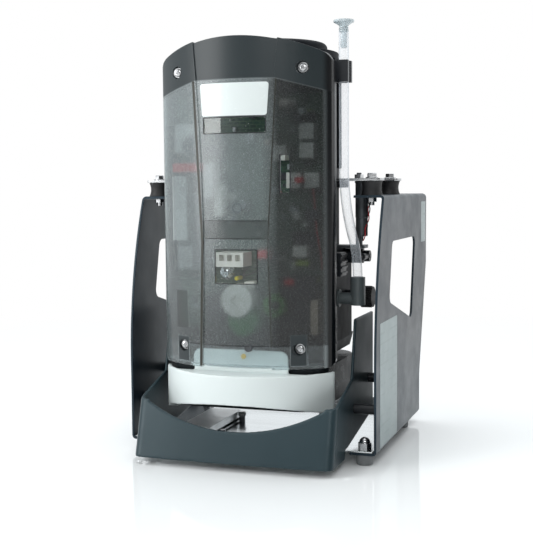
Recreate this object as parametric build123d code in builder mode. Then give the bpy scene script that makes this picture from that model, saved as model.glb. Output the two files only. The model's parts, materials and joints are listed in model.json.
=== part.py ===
from build123d import *
import os
from math import sqrt

# Dental suction and separator unit on a sprung carrying frame.
# Millimetres, +Z up, the front faces -Y, the floor is z = 0.

os.makedirs("parts", exist_ok=True)

# ---- driving dimensions: carrying frame
frame_width = 310.0            # outside to outside of the two side plates
frame_depth = 308.0            # plate front edge to plate rear edge
apron_reach = 71.5             # how far the apron stands out in front of the plates
plate_height = 300.0           # underside of the bottom flange to top of the top flange
plate_front_y = apron_reach - (frame_depth + apron_reach) / 2
sheet = 3.0
bend_radius = 2.0
foot_height = 12.0
top_flange = 37.0
bottom_flange = 32.0
front_lean = 42.0              # how far the front edge leans back at the top
lean_start = 100.0             # height above the flange where the lean starts
rear_step = 47.0               # how much shorter the plate is at its foot
rear_step_top = 205.0
rear_step_bottom = 55.0

# ---- carrying frame: hand holes
grip_top = 244.0               # heights above the bottom flange's underside
grip_rear_bottom = 137.0
grip_front_bottom = 172.0
grip_top_front = 86.0          # distances behind the plate's front edge
grip_top_rear = 229.0
grip_bottom_front = 70.0
grip_bottom_rear = 206.0
grip_corner = 10.0

# ---- buffers, feet and fasteners
buffer_x = 137.0
buffer_y = (plate_front_y + 55.0, plate_front_y + 153.0)
buffer_radius = 13.0
buffer_waist = 11.0
buffer_height = 17.0
stud_radius = 3.0
stud_clearance = 0.3
stud_grip = 7.0                # how deep a stud sits in its rubber
stud_end = 4.0                 # how far a stud stands out past its nut
nut_across_flats = 10.0
nut_height = 5.0
arm_washer_radius = 7.5
arm_washer_thickness = 1.2
thread_gap = 0.05
seat_gap = 0.2                 # round a plate that drops into a housing
foot_x = 139.0
foot_y = (plate_front_y + 10.0, plate_front_y + 215.0)
foot_radius = 10.5
foot_nut_across_flats = 14.0
foot_nut_height = 16.0

# ---- base pan
pan_thickness = 1.5
pan_front_y = plate_front_y - 55.0
pan_lip = 14.0
catch_plate = (34.0, 16.0, 2.0)
catch_place = (-30.0, plate_front_y + 10.0)
catch_post_x = -38.0
catch_post_radius = 3.5
catch_clearance = 6.0          # left under the container when it is fully down

# ---- front apron
apron_half_width = 121.0
apron_bow = 3.0                # how far the front bows out in the middle
apron_rake = 19.0              # how far the front leans back up to the rim's corners
apron_wall = 3.5
apron_ground_gap = 8.0
rim_corner_height = 73.0       # heights above the floor
rim_middle_height = 44.0
rim_flat = 14.0                # level stretch of the rim at each corner
wing_start_y = plate_front_y + 25.0
wing_rise_y = plate_front_y + 42.0
wing_low_height = 96.0
wing_height = 166.0
wing_rear_y = plate_front_y + 130.0
wing_foot_height = 19.0
wing_foot_rear_height = 40.0
spacer_radius = 6.0
spacer_places = ((plate_front_y + 32.0, 60.0), (plate_front_y + 105.0, 85.0))

# ---- blank labels on the right-hand plate: centre y and z, depth, height
large_label = (plate_front_y + 66.0, 90.0, 94.0, 147.0)
small_label = (plate_front_y + 296.0, 274.0, 9.0, 52.0)
label_thickness = 0.2

# ---- suspended unit
axis_y = plate_front_y + 100.0
unit_travel = 3.0              # spring travel of the suspended unit, each way
joint_gap = 0.3
cover_half_width = 106.0
cover_bottom = 114.0
cover_top = 494.0
cover_crown = 24.0             # how much lower the cover's top is at its sides
cover_bow = 52.0               # how far the front bows out
cover_side = 7.0               # straight part of each side
cover_wall = 3.0
cover_corner = 18.0
cover_edge = 14.0              # rounding between the front and the sides
channel_top_half = 52.0        # sunk centre field of the cover
channel_waist_half = 39.0
channel_foot_half = 43.0
channel_waist_height = 260.0
channel_depth = 1.6
cover_screw_places = ((-76.0, 456.0), (76.0, 456.0), (-71.0, 137.0), (71.0, 137.0))
screw_seat_y = plate_front_y - 14.0
screw_pocket_radius = 7.0
screw_boss_radius = 9.0
screw_head_radius = 4.6
screw_head_height = 3.2
washer_radius = 6.0
washer_thickness = 1.0
screw_radius = 2.5
name_plate_height = 37.0
name_plate_foot = 403.0
name_plate_top_half = 41.5
name_plate_foot_half = 39.0
name_plate_thickness = 0.8
window_gap = 0.15
display_window = (0.0, 392.5, 74.0, 17.0)        # centre x, centre z, width, height
terminal_window = (1.5, 232.0, 50.0, 38.0)
slit_window = (58.0, 337.0, 10.0, 42.0)
button_place = (15.5, 139.0)
button_radius = 5.0
button_length = 8.0
button_stem_radius = 1.5
button_gap = 0.4
slot_gap = 3.0                 # round the holder's tab where it enters the cover

# ---- control tray behind the cover
tray_half_width = 102.5
tray_depth = 25.0
tray_wall = 2.5
tray_top = 484.0
board_half_width = 90.0
board_bottom = 156.0
board_top = 430.0
board_thickness = 1.6
board_standoff = 14.0
board_post_x = 80.0
board_post_inset = 14.0
board_post_radius = 4.0
screw_depth = 10.0             # how far a cover screw runs into the tray
relay_size = (17.0, 18.0, 16.0)
relay_places = ((74, 386), (74, 364), (58, 330), (80, 330), (40, 362))
capacitor_places = ((-64, 372, 11, 24), (-64, 344, 11, 24), (-38, 366, 7, 18),
                    (62, 402, 6, 14), (78, 404, 5, 12), (80, 290, 8, 20))
terminal_place = (-8.0, 238.0)
terminal_size = (34.0, 17.0, 30.0)
terminal_pitch = 10.0
terminal_mouth = (6.0, 7.0, 10.0)
heat_sink_place = (-68.0, 270.0)
heat_sink_size = (34.0, 90.0, 4.0)
fin_count = 6
fin_pitch = 5.8
fin_size = (2.0, 90.0, 22.0)
alarm_place = (4.0, 192.0, 17.0, 30.0)           # x, z, radius, depth
choke_place = (36.0, 184.0, 14.0, 22.0)
choke_bore = 6.0

# ---- motor and separator
motor_radius = 82.0
motor_wall = 3.0
motor_bottom = 247.0
motor_top = 487.0
motor_flange_radius = 94.0
motor_flange_thickness = 8.0
cap_radius = 68.0
cap_height = 12.0
stator_radius = 64.0
stator_bore = 40.0
air_gap = 0.6
stator_bottom = 345.0
stator_height = 62.0
shaft_radius = 7.0
shaft_bottom = 152.0
shaft_top = 446.0
bearing_radius = 16.0
bearing_width = 8.0
running_gap = 0.05
plate_thickness = 12.0
upper_plate_bottom = 428.0
rib_count = 6
rib_width = 8.0
impeller_radius = 60.0
impeller_bottom = 268.0
impeller_height = 26.0
impeller_hub = 14.0
blade_count = 12
blade_thickness = 2.5
turbine_cover_bottom = 302.0
turbine_cover_thickness = 4.0
turbine_eye = 24.0
separator_half_width = 92.0
separator_bottom = 134.0
separator_rear_y = plate_front_y + 160.0
separator_corner = 30.0
chamber_radius = 62.0
chamber_floor = 142.0
drum_radius = 52.0
drum_wall = 2.5
drum_bottom = 160.0
drum_height = 66.0
drum_hub_wall = 5.0
drum_hub_start = 6.0           # how far up the hub starts
outlet_radius = 38.0
outlet_wall = 4.0
outlet_bottom = 105.0

# ---- hose spigots at the back: x, z, radius, bore, length
suction_place = (-42.0, 200.0, 18.0, 15.0, 30.0)
drain_place = (46.0, 160.0, 10.0, 8.0, 26.0)
exhaust_place = (0.0, 284.0, 18.0, 15.0, 34.0)
bead_height = 3.0
bead_length = 4.0
gland_place = (-40.0, 160.0)
gland_nut_radius = 12.0
gland_radius = 9.0
gland_bore = 4.0
gland_length = 16.0

# ---- collecting container and its holder
holder_half_width = 105.0
holder_bow = 60.0
holder_front_y = plate_front_y - 60.0
holder_rear_y = plate_front_y + 5.0
holder_top = 108.0
holder_wall = 4.0
holder_end_bottom = 59.0
holder_middle_bottom = 74.0
holder_deck = 3.0
tab_half_width = 58.0
tab_top = 134.0
tab_y = plate_front_y - 28.0
tab_thickness = 3.0
container_half_width = 96.0
container_front_y = plate_front_y - 22.0
container_rear_y = plate_front_y + 150.0
container_corner = 34.0
container_bottom = 62.0
container_top = 112.0
container_wall = 2.5
container_drop = 24.0          # how far the container lowers to come out
container_rail = (12.0, 14.0, 3.0)               # ledge in the holder under the container
neck_height = 5.0
seal_width = 3.0
seal_height = 4.0
float_place = (-62.0, plate_front_y + 100.0)
float_radius = 11.0
float_height = 20.0
stem_radius = 3.0

# ---- right-hand service side
hose_x = 111.0
hose_y = plate_front_y + 25.0
hose_radius = 5.8
hose_bore = 4.0
hose_top = 499.0
hose_straight_end = 322.0
hose_foot_x = 118.0
hose_foot_y = plate_front_y + 62.0
hose_foot_z = 204.0
elbow_z = 188.0
elbow_radius = 9.0
elbow_height = 34.0
elbow_stub_radius = 7.0
elbow_flange = (11.0, 4.0)                       # radius, thickness
plug_flange_radius = 12.0
plug_flange_thickness = 3.0
plug_depth = 18.0
plug_neck_height = 6.0
plug_cone_height = 5.0
clip_bottom = 442.0
clip_height = 25.0
clip_reach = 16.0
clip_depth = 20.0
clip_mouth = 8.0
clip_gap = 0.1
box_place = (plate_front_y + 36.0, 216.0)
box_size = (12.0, 26.0, 28.0)
box_rib_count = 4
box_rib_pitch = 7.0
box_rib_size = (1.6, 2.5)                        # how far it stands out, height
rod_x = 112.0
rod_y = plate_front_y + 93.0
rod_radius = 4.2
rod_foot = 4.0
rod_foot_width = 20.0
rod_foot_overlap = 8.0
rod_foot_past = 9.0            # how far a foot reaches past its rod
lever_y = plate_front_y + 100.0
lever_z = 237.0
lever_radius = 3.8
lever_length = 25.0
lever_tip_radius = 4.4
lever_hub_radius = 7.0
lever_hub_width = 8.0
valve_body_radius = 9.0
valve_reach = 24.0
spindle_radius = 3.0
spindle_end = 9.0
knob_y = plate_front_y + 106.0
knob_z = 186.0
knob_radius = 13.5
knob_foot = 20.0               # from the separator's side to the knob
knob_width = 13.0
knob_rim = 2.0
knob_ribs = 24
knob_rib_radius = 0.8
stub_radius = 8.0
stub_overlap = 5.0
stub_length = 35.0

base_z = foot_height
plate_top = base_z + plate_height
plate_rear_y = plate_front_y + frame_depth
outer_x = frame_width / 2
inner_x = outer_x - sheet
pan_z = base_z + sheet
pan_top = pan_z + pan_thickness
apron_front_y = plate_front_y - apron_reach
tray_front_y = plate_front_y + 5.0
tray_rear_y = tray_front_y + tray_depth
housing_front_y = tray_rear_y + joint_gap
arm_bottom = plate_top + buffer_height
arm_top = arm_bottom + sheet
cover_front_y = tray_front_y - cover_bow


def write(builder, label):
    """Labels a finished piece and writes it to its own file."""
    builder.part.label = label
    export_step(builder.part, f"parts/{label}.step")


def hexagon(across_flats):
    """A regular hexagon in the current sketch, by its size across the flats."""
    return RegularPolygon(across_flats / 2, 6, major_radius=False)


# ================================================================ carrying frame
def plate_outline():
    """Side view of a plate: curved front edge, stepped rear edge."""
    front = plate_front_y
    with BuildSketch(Plane.YZ.offset(-outer_x - 1)) as outline:
        with BuildLine():
            foot_front = (front, base_z)
            bend = (front, base_z + lean_start)
            top_front = (front + front_lean, plate_top)
            Line(foot_front, bend)
            TangentArc(bend, top_front, tangent=(0, 1))
            Polyline(
                top_front,
                (plate_rear_y, plate_top),
                (plate_rear_y, base_z + rear_step_top),
                (plate_rear_y - rear_step, base_z + rear_step_bottom),
                (plate_rear_y - rear_step, base_z),
                foot_front,
            )
        make_face()
        rear = vertices().group_by(Axis.X)[-1].sort_by(Axis.Y)
        fillet(rear[-1], 8)
        fillet(rear[0], 40)
        step_z = base_z + rear_step_bottom
        fillet(vertices().filter_by_position(Axis.Y, step_z - 1, step_z + 1), 40)
    return outline


with BuildPart() as right_side_plate:
    with BuildSketch(Plane.XZ.offset(-plate_rear_y)):
        with BuildLine():
            Polyline(
                (outer_x - top_flange, plate_top),
                (outer_x, plate_top),
                (outer_x, base_z),
                (outer_x - bottom_flange, base_z),
                (outer_x - bottom_flange, base_z + sheet),
                (inner_x, base_z + sheet),
                (inner_x, plate_top - sheet),
                (outer_x - top_flange, plate_top - sheet),
                close=True,
            )
        make_face()
        corners = vertices()
        fillet(corners.group_by(Axis.X)[-1], bend_radius + sheet)
        inside = vertices().filter_by_position(Axis.X, inner_x - 0.1, inner_x + 0.1)
        fillet(inside, bend_radius)
    extrude(amount=frame_depth)
    add(plate_outline().sketch)
    extrude(amount=frame_width + 2, dir=(1, 0, 0), mode=Mode.INTERSECT)
    with BuildSketch(Plane.YZ.offset(inner_x - 1)) as grip:
        with BuildLine():
            Polyline(
                (plate_front_y + grip_top_front, base_z + grip_top),
                (plate_front_y + grip_top_rear, base_z + grip_top),
                (plate_front_y + grip_bottom_rear, base_z + grip_rear_bottom),
                (plate_front_y + grip_bottom_front, base_z + grip_front_bottom),
                close=True,
            )
        make_face()
        fillet(vertices(), grip_corner)
    extrude(amount=sheet + 2, dir=(1, 0, 0), mode=Mode.SUBTRACT)
    with Locations(*[(buffer_x, y, plate_top) for y in buffer_y]):
        Hole(stud_radius + stud_clearance, depth=sheet * 2)
    with Locations(*[(foot_x, y, base_z + sheet) for y in foot_y]):
        Hole(stud_radius + stud_clearance, depth=sheet * 2)
write(right_side_plate, "right_side_plate")

with BuildPart() as left_side_plate:
    mirror(right_side_plate.part, about=Plane.YZ)
write(left_side_plate, "left_side_plate")


pan_half_width = inner_x - bend_radius - joint_gap
inner_half_width = apron_half_width - apron_wall - 1.0
with BuildPart() as base_pan:
    with BuildSketch(Plane.XY.offset(pan_z)):
        with BuildLine():
            Polyline(
                (-inner_half_width, pan_front_y),
                (inner_half_width, pan_front_y),
                (inner_half_width, plate_front_y + 1),
                (pan_half_width, plate_front_y + 1),
                (pan_half_width, plate_rear_y - rear_step),
                (-pan_half_width, plate_rear_y - rear_step),
                (-pan_half_width, plate_front_y + 1),
                (-inner_half_width, plate_front_y + 1),
                close=True,
            )
        make_face()
    extrude(amount=pan_thickness)
    lip_middle = plate_rear_y - rear_step - pan_thickness / 2
    with Locations((0, lip_middle, pan_z)):
        Box(2 * pan_half_width, pan_thickness, pan_lip, align=(Align.CENTER, Align.CENTER, Align.MIN))
    with Locations(*[(side * foot_x, y, pan_top) for side in (-1, 1) for y in foot_y]):
        Hole(stud_radius + stud_clearance, depth=pan_thickness * 2)
write(base_pan, "base_pan")

foot_places = [(side * foot_x, y) for side in (-1, 1) for y in foot_y]
with BuildPart() as feet:
    for x, y in foot_places:
        with BuildSketch(Plane.XY):
            with Locations((x, y)):
                Circle(foot_radius - 1)
        with BuildSketch(Plane.XY.offset(foot_height)):
            with Locations((x, y)):
                Circle(foot_radius)
        loft()
    with Locations(*[(x, y, foot_height) for x, y in foot_places]):
        Hole(stud_radius + thread_gap, depth=stud_grip)
write(feet, "feet")

with BuildPart() as foot_studs:
    with Locations(*[(x, y, foot_height - stud_grip + joint_gap) for x, y in foot_places]):
        Cylinder(stud_radius, pan_top - foot_height + stud_grip + foot_nut_height / 2,
                 align=(Align.CENTER, Align.CENTER, Align.MIN))
write(foot_studs, "foot_studs")

with BuildPart() as foot_nuts:
    with BuildSketch(Plane.XY.offset(pan_top)):
        with Locations(*foot_places):
            hexagon(foot_nut_across_flats)
    extrude(amount=foot_nut_height - foot_nut_across_flats / 2)
    for x, y in foot_places:
        with Locations((x, y, pan_top + foot_nut_height - foot_nut_across_flats / 2)):
            Sphere(foot_nut_across_flats / 2 - 0.5)
    with Locations(*[(x, y, pan_top) for x, y in foot_places]):
        Cylinder(stud_radius + thread_gap, foot_nut_height - 4,
                 align=(Align.CENTER, Align.CENTER, Align.MIN), mode=Mode.SUBTRACT)
write(foot_nuts, "foot_nuts")


def apron_blank(inset):
    """The apron's outer form, drawn in by a wall; past its open top, foot and back when inset."""
    past = 5.0 if inset else 0.0
    half = apron_half_width - inset
    slope = apron_rake / (rim_corner_height - apron_ground_gap)
    front = apron_front_y + inset - slope * past
    low = apron_ground_gap - past
    high = wing_height + past
    slant = sqrt(1 + slope * slope)
    with BuildPart() as blank:
        with BuildSketch(Plane.XY.offset(low)) as plan:
            with BuildLine():
                ThreePointArc((-half, front + apron_bow), (0, front), (half, front + apron_bow))
                Polyline((half, front + apron_bow), (half, wing_rear_y + past),
                         (-half, wing_rear_y + past), (-half, front + apron_bow))
            make_face()
            fillet(vertices().group_by(Axis.Y)[0], max(9 - inset, 1))
        extrude(plan.sketch, amount=(high - low) * slant, dir=(0, slope, 1))
        if not inset:
            ahead = apron_front_y - 10
            with BuildSketch(Plane.YZ.offset(-apron_half_width - 1)) as side_view:
                with BuildLine():
                    Polyline(
                        (ahead, low),
                        (ahead, rim_corner_height),
                        (apron_front_y + apron_rake, rim_corner_height),
                        (wing_start_y, wing_low_height),
                        (wing_rise_y, high),
                        (wing_rear_y, high),
                        (wing_rear_y, wing_foot_rear_height),
                        (plate_front_y, wing_foot_height),
                        (plate_front_y - 8, wing_foot_height),
                        (plate_front_y - 12, low),
                        close=True,
                    )
                make_face()
            extrude(side_view.sketch, amount=2 * apron_half_width + 2, dir=(1, 0, 0), mode=Mode.INTERSECT)
    return blank.part


with BuildPart() as front_apron:
    add(apron_blank(0))
    add(apron_blank(apron_wall), mode=Mode.SUBTRACT)
    with BuildSketch(Plane.XZ.offset(-(plate_front_y - 25))) as rim:
        end = apron_half_width - rim_flat
        with BuildLine():
            end_z = rim_corner_height - 1
            above = rim_corner_height + 60
            ThreePointArc((-end, end_z), (0, rim_middle_height), (end, end_z))
            Polyline((end, end_z), (end, above), (-end, above), (-end, end_z))
        make_face()
    extrude(amount=apron_reach, dir=(0, -1, 0), mode=Mode.SUBTRACT)
write(front_apron, "front_apron")

with BuildPart() as apron_spacers:
    for side in (-1, 1):
        for y, z in spacer_places:
            with Locations(Location((side * apron_half_width, y, z), (0, 90 * side, 0))):
                Cylinder(spacer_radius, inner_x - apron_half_width,
                         align=(Align.CENTER, Align.CENTER, Align.MIN))
write(apron_spacers, "apron_spacers")

buffer_places = [(side * buffer_x, y) for side in (-1, 1) for y in buffer_y]
with BuildPart() as rubber_buffers:
    for x, y in buffer_places:
        with BuildSketch(Plane.XZ.offset(-y)):
            with BuildLine():
                low = (x + buffer_radius, plate_top)
                high = (x + buffer_radius, arm_bottom)
                ThreePointArc(low, (x + buffer_waist, (plate_top + arm_bottom) / 2), high)
                Polyline(high, (x, arm_bottom), (x, plate_top), low)
            make_face()
        revolve(axis=Axis((x, y, 0), (0, 0, 1)))
    with Locations(*[(x, y, arm_bottom) for x, y in buffer_places]):
        Hole(stud_radius + thread_gap, depth=stud_grip)
    with Locations(*[(x, y, plate_top) for x, y in buffer_places]):
        Cylinder(stud_radius + thread_gap, stud_grip,
                 align=(Align.CENTER, Align.CENTER, Align.MIN), mode=Mode.SUBTRACT)
write(rubber_buffers, "rubber_buffers")

lower_stud_end = plate_top - sheet - nut_height - stud_end
with BuildPart() as buffer_studs:
    with Locations(*[(x, y, lower_stud_end) for x, y in buffer_places]):
        Cylinder(stud_radius, plate_top - lower_stud_end + stud_grip - joint_gap,
                 align=(Align.CENTER, Align.CENTER, Align.MIN))
write(buffer_studs, "buffer_studs")

with BuildPart() as buffer_nuts:
    with BuildSketch(Plane.XY.offset(plate_top - sheet)):
        with Locations(*buffer_places):
            hexagon(nut_across_flats)
            Circle(stud_radius + thread_gap, mode=Mode.SUBTRACT)
    extrude(amount=-nut_height)
write(buffer_nuts, "buffer_nuts")

with BuildPart() as blank_labels:
    with BuildSketch(Plane.YZ.offset(outer_x)):
        for y, z, depth, height in (large_label, small_label):
            with Locations((y, z)):
                RectangleRounded(depth, height, bend_radius)
    extrude(amount=label_thickness, dir=(1, 0, 0))
write(blank_labels, "blank_labels")

with BuildPart() as pan_catch:
    catch_x, catch_y = catch_place
    catch_top = container_bottom - container_drop - unit_travel - catch_clearance
    with Locations((catch_x, catch_y, pan_top)):
        Box(*catch_plate, align=(Align.CENTER, Align.CENTER, Align.MIN))
    with Locations((catch_post_x, catch_y, pan_top)):
        Cylinder(catch_post_radius, catch_top - pan_top, align=(Align.CENTER, Align.CENTER, Align.MIN))
write(pan_catch, "pan_catch")


# ================================================================ suspended unit
with BuildPart() as right_suspension_plate:
    with BuildSketch(Plane.XY.offset(arm_bottom)):
        with BuildLine():
            Polyline(
                (motor_radius - 2, buffer_y[0] - 12),
                (buffer_x + 13, buffer_y[0] - 12),
                (buffer_x + 13, buffer_y[0] + 13),
                (rod_x + 7, buffer_y[0] + 13),
                (rod_x + 7, buffer_y[1] - 13),
                (buffer_x + 13, buffer_y[1] - 13),
                (buffer_x + 13, buffer_y[1] + 13),
                (motor_radius - 22, buffer_y[1] + 13),
                close=True,
            )
        make_face()
        corners = vertices().group_by(Axis.X)[-1]
        fillet(corners, 5)
        with Locations((0, axis_y)):
            Circle(motor_radius + joint_gap, mode=Mode.SUBTRACT)
    extrude(amount=sheet)
    with Locations(*[(buffer_x, y, arm_top) for y in buffer_y], (rod_x, rod_y, arm_top)):
        Hole(stud_radius + stud_clearance, depth=sheet)
write(right_suspension_plate, "right_suspension_plate")

with BuildPart() as left_suspension_plate:
    mirror(right_suspension_plate.part, about=Plane.YZ)
write(left_suspension_plate, "left_suspension_plate")

with BuildPart() as buffer_screws:
    with BuildSketch(Plane.XY.offset(arm_top)):
        with Locations(*buffer_places):
            Circle(arm_washer_radius)
    extrude(amount=arm_washer_thickness)
    with BuildSketch(Plane.XY.offset(arm_top + arm_washer_thickness)):
        with Locations(*buffer_places):
            hexagon(nut_across_flats)
    extrude(amount=nut_height)
    with Locations(*[(x, y, arm_bottom - stud_grip + joint_gap) for x, y in buffer_places]):
        Cylinder(stud_radius, sheet + stud_grip, align=(Align.CENTER, Align.CENTER, Align.MIN))
write(buffer_screws, "buffer_screws")

rod_places = [(side * rod_x, rod_y) for side in (-1, 1)]
with BuildPart() as support_rods:
    with Locations(*[(x, y, motor_bottom + rod_foot) for x, y in rod_places]):
        Cylinder(rod_radius, arm_bottom - motor_bottom - rod_foot,
                 align=(Align.CENTER, Align.CENTER, Align.MIN))
    with Locations(*[(x, y, arm_bottom) for x, y in rod_places]):
        Cylinder(stud_radius, sheet + nut_height + 2, align=(Align.CENTER, Align.CENTER, Align.MIN))
    for side in (-1, 1):
        inner = separator_half_width - rod_foot_overlap
        outer = rod_x + rod_foot_past
        with Locations((side * (inner + outer) / 2, rod_y, motor_bottom)):
            Box(outer - inner, rod_foot_width, rod_foot, align=(Align.CENTER, Align.CENTER, Align.MIN))
write(support_rods, "support_rods")

with BuildPart() as rod_nuts:
    with BuildSketch(Plane.XY.offset(arm_top)):
        with Locations(*rod_places):
            hexagon(nut_across_flats)
            Circle(stud_radius + thread_gap, mode=Mode.SUBTRACT)
    extrude(amount=nut_height)
write(rod_nuts, "rod_nuts")


def arched_front(half, bottom, top, crown, corner, inset):
    """Front view of the cover or the tray: level foot, arched top, rounded corners."""
    with BuildSketch(Plane.XZ.offset(-(tray_rear_y + 20))) as front:
        with BuildLine():
            Polyline((-half, top - crown), (-half, bottom), (half, bottom), (half, top - crown))
            ThreePointArc((half, top - crown), (0, top), (-half, top - crown))
        make_face()
        upper = vertices().filter_by_position(Axis.Y, top - crown - 1, top - crown + 1)
        fillet(upper, corner)
        fillet(vertices().group_by(Axis.Y)[0], 7)
        if inset:
            offset(amount=-inset, kind=Kind.INTERSECTION)
    return front.sketch


def cover_blank(inset):
    """The cover's bowed form, drawn in by a wall and run past its open back when inset."""
    past = inset + 1 if inset else 0.0
    half = cover_half_width
    side_y = tray_front_y - cover_side
    with BuildPart() as blank:
        with BuildSketch(Plane.XY.offset(cover_bottom - 1)):
            with BuildLine():
                ThreePointArc((-half, side_y), (0, cover_front_y), (half, side_y))
                Polyline((half, side_y), (half, tray_front_y + past),
                         (-half, tray_front_y + past), (-half, side_y))
            make_face()
            shoulders = vertices().filter_by_position(Axis.Y, side_y - 1, side_y + 1)
            fillet(shoulders, cover_edge)
            if inset:
                offset(amount=-inset, kind=Kind.INTERSECTION)
        extrude(amount=cover_top - cover_bottom + 2)
        add(arched_front(cover_half_width, cover_bottom, cover_top, cover_crown, cover_corner, inset))
        extrude(amount=2 * cover_bow + 90, dir=(0, -1, 0), mode=Mode.INTERSECT)
    return blank.part


def front_prism(sketch_builder, rear_y):
    """A front-view outline pushed forward past the cover from the plane y = rear_y."""
    return extrude(sketch_builder.sketch, amount=rear_y - cover_front_y + 10, dir=(0, -1, 0))


def window_sketch(window, gap, rear_y):
    """A window's outline on an upright plane, its corners rounded, drawn in by a gap."""
    x, z, width, height = window
    with BuildSketch(Plane.XZ.offset(-rear_y)) as outline:
        with Locations((x, z)):
            RectangleRounded(width - 2 * gap, height - 2 * gap, 2)
    return outline


skin_rear_y = plate_front_y - 20.0
with BuildSketch(Plane.XZ.offset(-skin_rear_y)) as channel_sketch:
    with BuildLine():
        top_left = (-channel_top_half, cover_top + 5)
        foot_left = (-channel_foot_half, cover_bottom - 5)
        ThreePointArc(top_left, (-channel_waist_half, channel_waist_height), foot_left)
        Line(foot_left, (channel_foot_half, cover_bottom - 5))
        ThreePointArc((channel_foot_half, cover_bottom - 5), (channel_waist_half, channel_waist_height),
                      (channel_top_half, cover_top + 5))
        Line((channel_top_half, cover_top + 5), top_left)
    make_face()
channel_prism = front_prism(channel_sketch, skin_rear_y)
cover_shell = cover_blank(0) - cover_blank(cover_wall)
channel_skin = (cover_blank(0) - cover_blank(channel_depth)) & channel_prism
windows = (display_window, terminal_window, slit_window)
window_cuts = [front_prism(window_sketch(window, 0, skin_rear_y), skin_rear_y) for window in windows]
panes = [front_prism(window_sketch(window, window_gap, skin_rear_y), skin_rear_y) for window in windows]
channel_wall = cover_blank(channel_depth) - cover_blank(cover_wall)

with BuildPart() as front_cover:
    add(cover_shell)
    for x, z in cover_screw_places:
        with Locations(Location((x, tray_front_y, z), (90, 0, 0))):
            Cylinder(screw_boss_radius, tray_front_y - screw_seat_y + 14,
                     align=(Align.CENTER, Align.CENTER, Align.MIN))
    add(arched_front(cover_half_width, cover_bottom, cover_top, cover_crown, cover_corner, 0))
    extrude(amount=2 * cover_bow + 90, dir=(0, -1, 0), mode=Mode.INTERSECT)
    outside = cover_blank(0)
    add(outside, mode=Mode.INTERSECT)
    add(channel_skin, mode=Mode.SUBTRACT)
    add(window_cuts, mode=Mode.SUBTRACT)
    for x, z in cover_screw_places:
        with Locations(Location((x, screw_seat_y, z), (90, 0, 0))):
            Cylinder(screw_pocket_radius, 60, align=(Align.CENTER, Align.CENTER, Align.MIN),
                     mode=Mode.SUBTRACT)
        with Locations(Location((x, tray_front_y + 1, z), (90, 0, 0))):
            Cylinder(screw_radius + stud_clearance, 60, align=(Align.CENTER, Align.CENTER, Align.MIN),
                     mode=Mode.SUBTRACT)
    with Locations(Location((button_place[0], plate_front_y, button_place[1]), (90, 0, 0))):
        Cylinder(button_radius + button_gap, 80, align=(Align.CENTER, Align.CENTER, Align.MIN),
                 mode=Mode.SUBTRACT)
    with Locations((0, tab_y - slot_gap, cover_bottom - 1)):
        Box(2 * (tab_half_width + slot_gap), tray_front_y - tab_y + slot_gap, cover_wall + 1.1,
            align=(Align.CENTER, Align.MIN, Align.MIN), mode=Mode.SUBTRACT)
write(front_cover, "front_cover")

display_pane = channel_wall & panes[0]
terminal_pane = channel_wall & panes[1]
slit_pane = cover_shell & panes[2]
with BuildPart() as clear_windows:
    add(display_pane)
    add(terminal_pane)
    add(slit_pane)
write(clear_windows, "clear_windows")

with BuildSketch(Plane.XZ.offset(-skin_rear_y)) as name_plate_sketch:
    with BuildLine():
        Polyline(
            (-name_plate_foot_half, name_plate_foot),
            (name_plate_foot_half, name_plate_foot),
            (name_plate_top_half, name_plate_foot + name_plate_height),
            (-name_plate_top_half, name_plate_foot + name_plate_height),
            close=True,
        )
    make_face()
    fillet(vertices(), 3)
plate_skin = cover_blank(channel_depth - name_plate_thickness) - cover_blank(channel_depth)
name_plate_solid = plate_skin & front_prism(name_plate_sketch, skin_rear_y)
with BuildPart() as name_plate:
    add(name_plate_solid)
write(name_plate, "name_plate")

with BuildPart() as cover_screws:
    for x, z in cover_screw_places:
        with Locations(Location((x, screw_seat_y, z), (90, 0, 0))):
            Cylinder(washer_radius, washer_thickness, align=(Align.CENTER, Align.CENTER, Align.MIN))
            with Locations((0, 0, washer_thickness)):
                Cylinder(screw_head_radius, screw_head_height,
                         align=(Align.CENTER, Align.CENTER, Align.MIN))
        with Locations(Location((x, tray_front_y + screw_depth, z), (90, 0, 0))):
            Cylinder(screw_radius, tray_front_y + screw_depth - screw_seat_y,
                     align=(Align.CENTER, Align.CENTER, Align.MIN))
write(cover_screws, "cover_screws")

with BuildPart() as service_button:
    x, z = button_place
    button_rear_y = cover_front_y + channel_depth + button_length
    stem_rear_y = tray_front_y - 2
    with Locations(Location((x, button_rear_y, z), (90, 0, 0))):
        Cylinder(button_radius, button_length, align=(Align.CENTER, Align.CENTER, Align.MIN))
    with Locations(Location((x, stem_rear_y, z), (90, 0, 0))):
        Cylinder(button_stem_radius, stem_rear_y - button_rear_y + 2,
                 align=(Align.CENTER, Align.CENTER, Align.MIN))
write(service_button, "service_button")

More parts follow.
